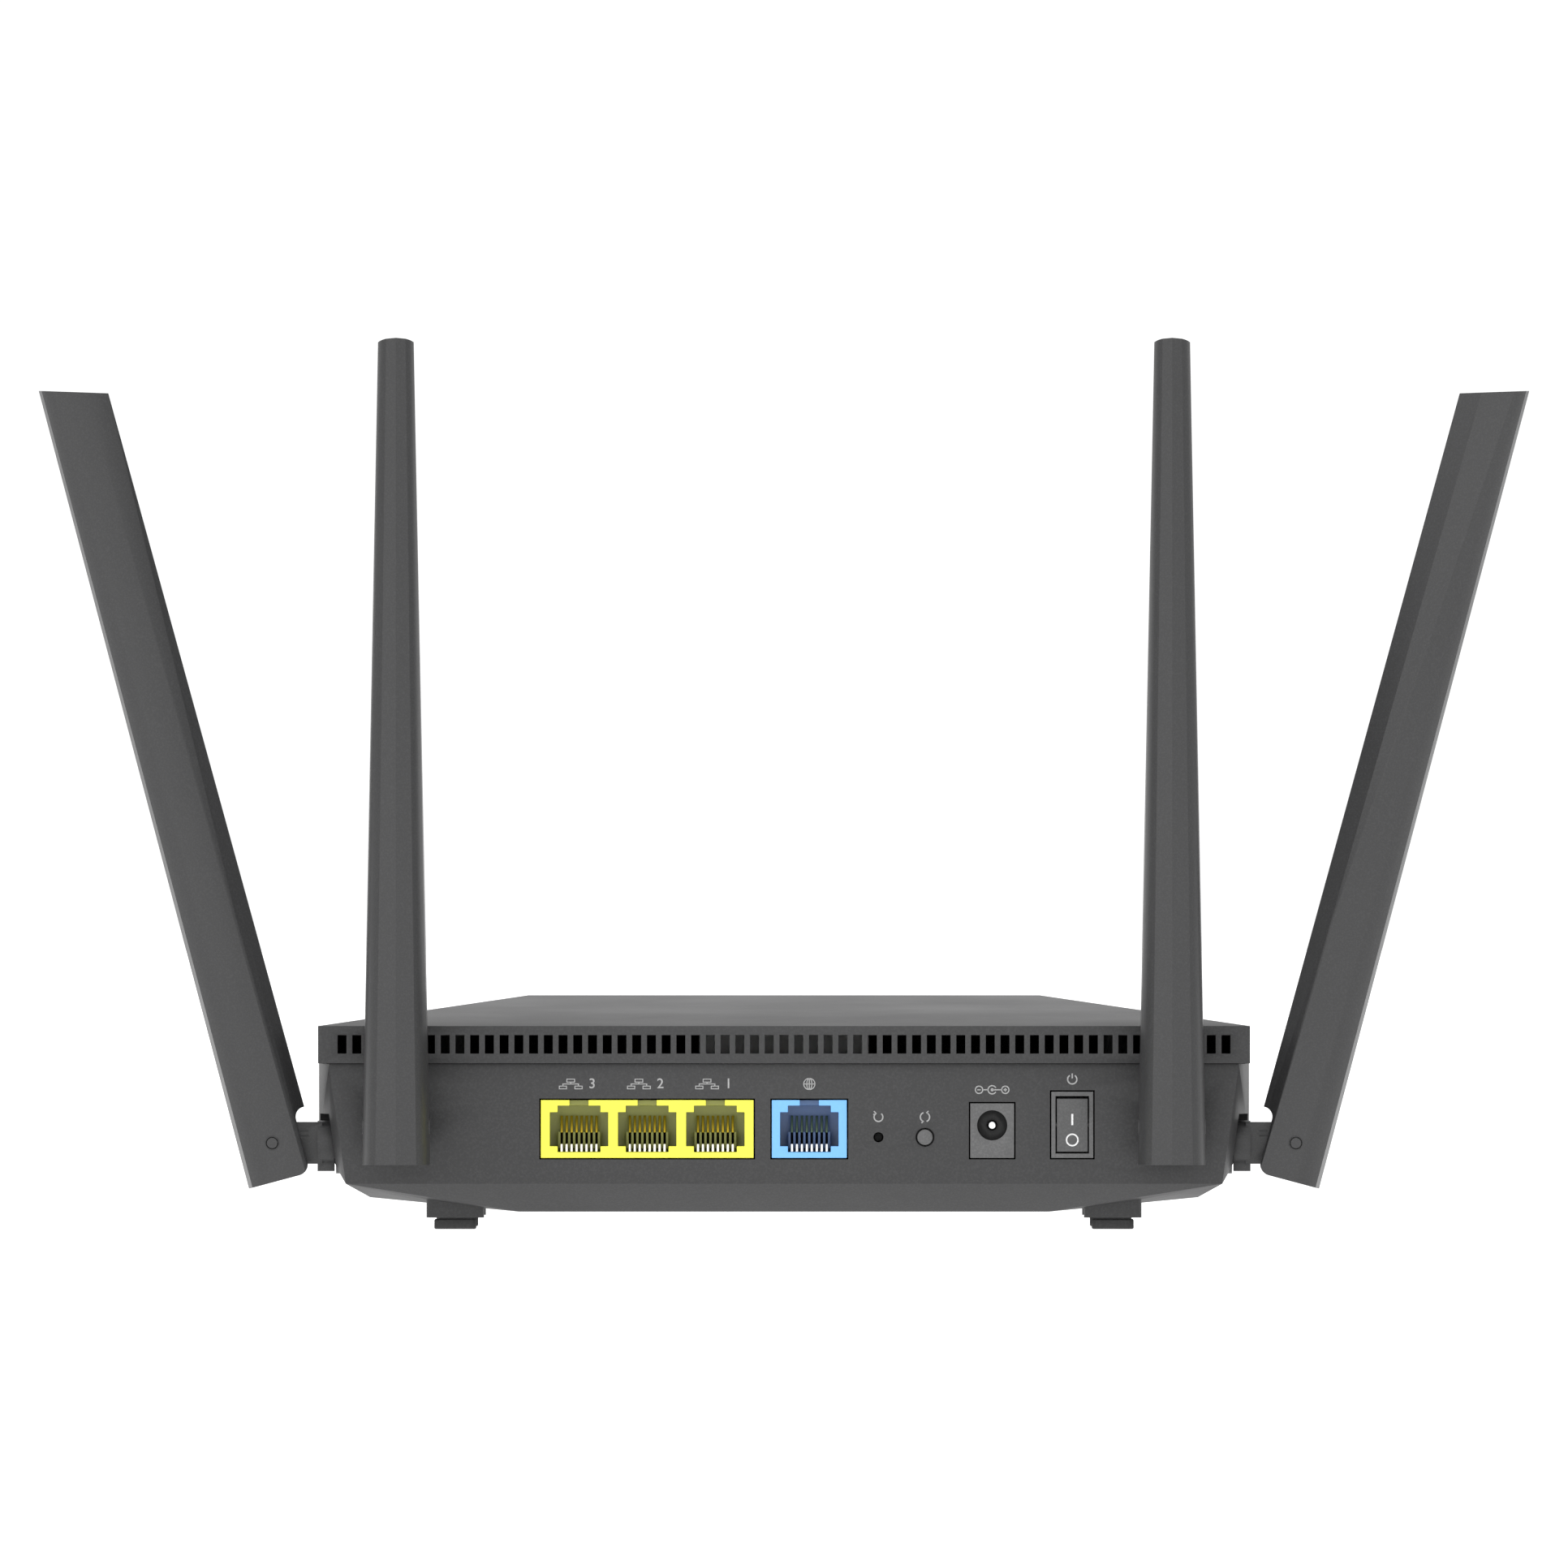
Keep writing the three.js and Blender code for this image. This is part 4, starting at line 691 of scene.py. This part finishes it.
def port_fittings(port, x, plastic, slot, gold):
    """Eight contact wires of one port, their ends in the trough in near-white metal as a painted highlight,
    and the comb that holds them apart, with a black block behind it as painted shadow that shows through its
    slots."""
    first = x - (CONTACTS - 1) / 2 * PITCH
    trough = SOCKET_LOW + 1.25 * MM
    bend = trough + 1.5 * MM
    ledge = PORT_FLOOR + 0.35 * MM
    route = ((1.3, trough), (1.3, bend), (2.2, ledge), (9.9, ledge))
    path = [behind(depth, first, height) for depth, height in route]
    bright = bent_strip(f"contact_ends_{port}", path, WIRE_WIDTH, WIRE_THICKNESS)
    repeat(bright, CONTACTS, (PITCH, 0, 0))
    soften(bright, FINE_EDGE, angle=50, segments=1)
    # the contact ends take the near-white metal, a painted highlight
    hand_over(bright, HIGHLIT_TIPS, "housing", "contact_gold")
    route = ((10.6, 4.2), (10.6, 5.5), (11.8, 8.6))
    path = [behind(depth, first, SOCKET_LOW + rise * MM) for depth, rise in route]
    gilt = bent_strip(f"contact_wires_{port}", path, WIRE_WIDTH, WIRE_THICKNESS)
    repeat(gilt, CONTACTS, (PITCH, 0, 0))
    soften(gilt, FINE_EDGE, angle=50, segments=1)
    hand_over(gilt, gold, "housing", "contact_gold", f"{port}_contacts")
    gap = PITCH - WIRE_WIDTH
    start = first - WIRE_WIDTH / 2 - gap
    low = behind(11, start, PORT_FLOOR - 0.5 * MM)
    high = behind(10, start + gap, SOCKET_LOW + 5.3 * MM)
    teeth = block(f"comb_{port}", low, high)
    repeat(teeth, CONTACTS + 1, (PITCH, 0, 0))
    soften(teeth, FINE_EDGE, angle=50, segments=1)
    hand_over(teeth, plastic, "housing", slot)
    # a black block behind the comb, painted shadow that shows through its slots
    low = behind(11.4, start + gap / 2, PORT_FLOOR - 0.4 * MM)
    high = behind(10.35, start + CONTACTS * PITCH + gap / 2, SOCKET_LOW + 5.2 * MM)
    slots = block(f"comb_slot_shadow_{port}", low, high)
    soften(slots, width=0.05 * MM, angle=50, segments=1)
    hand_over(slots, SLOT_SHADOW, "housing", "black_plastic")


def build_sockets():
    lan = merged_copy("lan_socket_block", "lan_sockets")
    soften(lan, width=0.1 * MM)
    hand_over(lan, LAN_YELLOW, "housing", "lan_plastic", "lan_socket_block")
    wan = merged_copy("wan_socket", "wan_housing")
    soften(wan, width=0.1 * MM)
    hand_over(wan, WAN_BLUE, "housing", "wan_plastic", "wan_socket")
    for number in (1, 2, 3):
        low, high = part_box(f"lan_{number}_contacts")
        port_fittings(f"lan_{number}", (low.x + high.x) / 2, LAN_YELLOW, "lan_plastic", GOLD)
    low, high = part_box("wan_contacts")
    # the blue socket's wires take the shaded copy of the gold, painted shade
    port_fittings("wan", (low.x + high.x) / 2, WAN_BLUE, "wan_plastic", SHADED_GOLD)


def build_power_socket():
    """The inlet's block, the floor at the bottom of its bore, and the pin that stands in a hole in it."""
    bore_radius = 3.08 * MM
    hole_radius = 1.0 * MM
    pin_radius = 0.82 * MM
    socket = merged_copy("dc_socket", "dc_housing")
    soften(socket, width=0.12 * MM)
    hand_over(socket, CONTROL, "housing", "control_plastic", "dc_socket")
    low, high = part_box("dc_socket_pin")
    x, z = (low.x + high.x) / 2, (low.z + high.z) / 2
    floor = bar("dc_bore_floor", bore_radius, behind(9.95, x, z), behind(5.2, x, z), sides=64)
    cut_away(floor, bar("cutter", hole_radius, behind(9, x, z), behind(4, x, z)))
    soften(floor, width=0.15 * MM, angle=50)
    hand_over(floor, BORE, "housing", "black_plastic")
    pin = bar("dc_pin", pin_radius, behind(13.7, x, z), behind(1, x, z))
    soften(pin, width=0.3 * MM, angle=60, segments=5)
    hand_over(pin, NICKEL, "housing", "pin_steel", "dc_socket_pin")


def build_switch():
    """The rocker's frame, and the rocker with its two marks. The top of the rocker's face slopes back in. At
    rest the upper half of its face leans and the lower half is upright."""
    slope_starts = 2.9 * MM
    slope = (0, -0.95 * MM, 0.3 * MM)
    lean = 16
    body = merged_copy("power_switch_body", "switch_frame")
    soften(body, width=0.12 * MM)
    hand_over(body, CONTROL, "housing", "control_plastic", "power_switch_body")
    rocker = merged_copy("power_rocker", "rocker")
    pivot = Vector(JOINTS["rocker_tilt"]["pos_m"])
    only(rocker)
    bpy.ops.object.mode_set(mode="EDIT")
    bpy.ops.mesh.select_all(action="SELECT")
    bpy.ops.mesh.bisect(plane_co=pivot + Vector((0, 0, slope_starts)), plane_no=(0, 0, 1))
    bpy.ops.mesh.select_all(action="DESELECT")
    bpy.ops.object.mode_set(mode="OBJECT")
    top = max(vertex.co.y for vertex in rocker.data.vertices)
    for vertex in rocker.data.vertices:
        vertex.select = vertex.co.y > top - 0.05 * MM
    bpy.ops.object.mode_set(mode="EDIT")
    bpy.ops.transform.translate(value=slope)
    bpy.ops.object.mode_set(mode="OBJECT")
    soften(rocker, width=0.14 * MM, angle=30)
    hand_over(rocker, ROCKER, "power_rocker", "control_plastic", "power_rocker")
    on_mark = drawn("mark_on", [[(0, -1.2), (0, 1.2)]], width=0.46)
    tilt = Matrix.Rotation(math.radians(-lean), 4, "X")
    on_mark.data.transform(Matrix.Translation(pivot + Vector((0, 1.455, 1.1)) * MM) @ tilt)
    off_mark = drawn("mark_off", [ring(0, 0, 1.17)], width=0.37)
    off_mark.data.transform(Matrix.Translation(pivot + Vector((0, 1.095, -3.1)) * MM))
    marks = joined("rocker_marks", [on_mark, off_mark])
    marks.data.materials.clear()
    marks.data.materials.append(WHITE_INK)
    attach(marks, "power_rocker")


def build_buttons():
    button = merged_copy("pairing_button", "pairing_cap")
    soften(button, width=0.2 * MM, angle=40)
    hand_over(button, CONTROL, "pairing_button", "control_plastic", "pairing_button")


# ------------------------------------------------------------------ symbols printed on the back panel

INK_RISE = 0.012 * MM


def ring(across, up, radius, start=0, end=360):
    """A circle or an arc of one, as places across and up, in the turning sense of a clock's hands."""
    steps = 40
    places = []
    for step in range(steps + 1):
        angle = math.radians(start + (end - start) * step / steps)
        places.append((across + radius * math.sin(angle), up + radius * math.cos(angle)))
    return places


def drawn(name, lines, width):
    """Ink strokes, in millimetres across and up as seen from the back, lying flat in the plane through the
    origin. A line that ends where it starts is closed."""
    flattened = 0.05
    curve = bpy.data.curves.new(name, "CURVE")
    curve.dimensions = "3D"
    curve.bevel_depth = width * MM / 2
    curve.bevel_resolution = 1
    curve.use_fill_caps = True
    for line in lines:
        closed = math.dist(line[0], line[-1]) < 1e-6
        places = line[:-1] if closed else line
        spline = curve.splines.new("POLY")
        spline.points.add(len(places) - 1)
        for point, (across, up) in zip(spline.points, places):
            point.co = (-across * MM, 0, up * MM, 1)
        spline.use_cyclic_u = closed
    strokes = bpy.data.objects.new(name, curve)
    bpy.context.collection.objects.link(strokes)
    only(strokes)
    bpy.ops.object.convert(target="MESH")
    strokes = bpy.context.active_object
    strokes.data.transform(Matrix.Diagonal((1, flattened, 1, 1)))
    return strokes


def numeral(text, height):
    """A digit, in the plane through the origin, its middle on the origin."""
    size_per_height = 1.38
    bpy.ops.object.select_all(action="DESELECT")
    bpy.ops.object.text_add()
    digit = bpy.context.active_object
    digit.data.body = text
    digit.data.size = height * size_per_height * MM
    digit.data.extrude = INK_RISE
    digit.data.offset = 0.02 * MM
    digit.data.align_x = "CENTER"
    digit.data.align_y = "CENTER"
    bpy.ops.object.convert(target="MESH")
    digit.data.transform(Matrix.Rotation(math.pi, 4, "Z") @ Matrix.Rotation(math.pi / 2, 4, "X"))
    return digit


def box_line(across, up, width, height):
    left, right = across - width / 2, across + width / 2
    low, high = up - height / 2, up + height / 2
    return [(left, low), (right, low), (right, high), (left, high), (left, low)]


NETWORK = [
    box_line(0, 0.68, 1.6, 0.62), box_line(-1.6, -0.72, 1.5, 0.56), box_line(1.6, -0.72, 1.5, 0.56),
    [(0, 0.37), (0, 0)], [(-1.6, -0.44), (-1.6, 0), (1.6, 0), (1.6, -0.44)],
]
GLOBE = [
    ring(0, 0, 1.15), [(0, 1.15), (0, -1.15)], [(-1.15, 0), (1.15, 0)],
    [(x * 0.45, y) for x, y in ring(0, 0, 1.15)],
]
RESTART = [ring(0, 0, 0.9, 40, 330), [(-0.95, 1.2), (-0.45, 0.78), (-1.06, 0.52)]]
PAIRING = [
    ring(0, 0, 0.95, 20, 160), ring(0, 0, 0.95, 200, 340),
    [(0.72, 1.22), (0.33, 0.89), (0.76, 0.55)], [(-0.72, -1.22), (-0.33, -0.89), (-0.76, -0.55)],
]
POLARITY = [
    ring(-2.7, 0, 0.75), [(-3.05, 0), (-2.35, 0)], ring(2.7, 0, 0.75), [(2.35, 0), (3.05, 0)],
    [(2.7, -0.35), (2.7, 0.35)], [(-1.95, 0), (-0.85, 0)], ring(0, 0, 0.85, 120, 420), [(0, 0), (1.95, 0)],
    ring(0, 0, 0.2),
]
STANDBY = [ring(0, -0.05, 0.95, 32, 328), [(0, 1.15), (0, 0.15)]]

# in millimetres: height over the ports, the middle of each port in X, and the rest as
# (name, lines, width of the stroke, X, Z)
OVER_PORTS = 29.9
LAN_PORTS = {1: 14.1, 2: 28.1, 3: 42.1}
SYMBOLS = (
    ("globe", GLOBE, 0.24, -5.2, OVER_PORTS),
    ("restart", RESTART, 0.32, -19.4, 23.1),
    ("pairing", PAIRING, 0.32, -28.95, 23.1),
    ("polarity", POLARITY, 0.28, -42.75, 28.7),
    ("standby", STANDBY, 0.34, -59.2, 30.9),
)


def build_print():
    """Generic symbols over the sockets and controls, in flat grey ink."""
    prints = []

    def put(piece, x, z):
        piece.data.transform(Matrix.Translation((x * MM, PANEL_Y + INK_RISE, z * MM)))
        prints.append(piece)

    for number, x in LAN_PORTS.items():
        put(drawn("network", NETWORK, width=0.3), x + 1.7, OVER_PORTS)
        put(numeral(str(number), height=2.1), x - 2.7, OVER_PORTS)
    for name, lines, width, x, z in SYMBOLS:
        put(drawn(name, lines, width), x, z)
    marks = joined("panel_symbols", prints)
    marks.data.materials.clear()
    marks.data.materials.append(INK)
    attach(marks, "housing")


# ------------------------------------------------------------------ CAD nodes that are kept as they are

def finish_carried_nodes():
    finish_nodes(STEEL, *[f"case_screw_{foot}" for foot in FEET], "board_screw_right", "board_screw_left")
    finish_nodes(STEEL, *[f"retaining_clip_{name}" for name in ANTENNAS])
    finish_nodes(BOARD, "main_board", *[f"aerial_strip_{name}" for name in ANTENNAS])
    finish_nodes(BLACK, "processor", "radio_chip", "memory_chip", "lan_transformer", "wan_transformer")
    finish_nodes(BLACK, "power_capacitor", "pairing_key_switch", "reset_key_switch", "reset_button")
    finish_nodes(ALUMINIUM, "heat_sink")
    finish_nodes(TINNED, "rf_shield")
    finish_nodes(CLEAR, "light_guide")
    finish_nodes(LEAD, *[f"aerial_lead_{name}" for name in ANTENNAS])


build_camera()
build_studio()
build_case()
build_feet()
build_antennas()
build_sockets()
build_power_socket()
build_switch()
build_buttons()
build_print()
finish_carried_nodes()
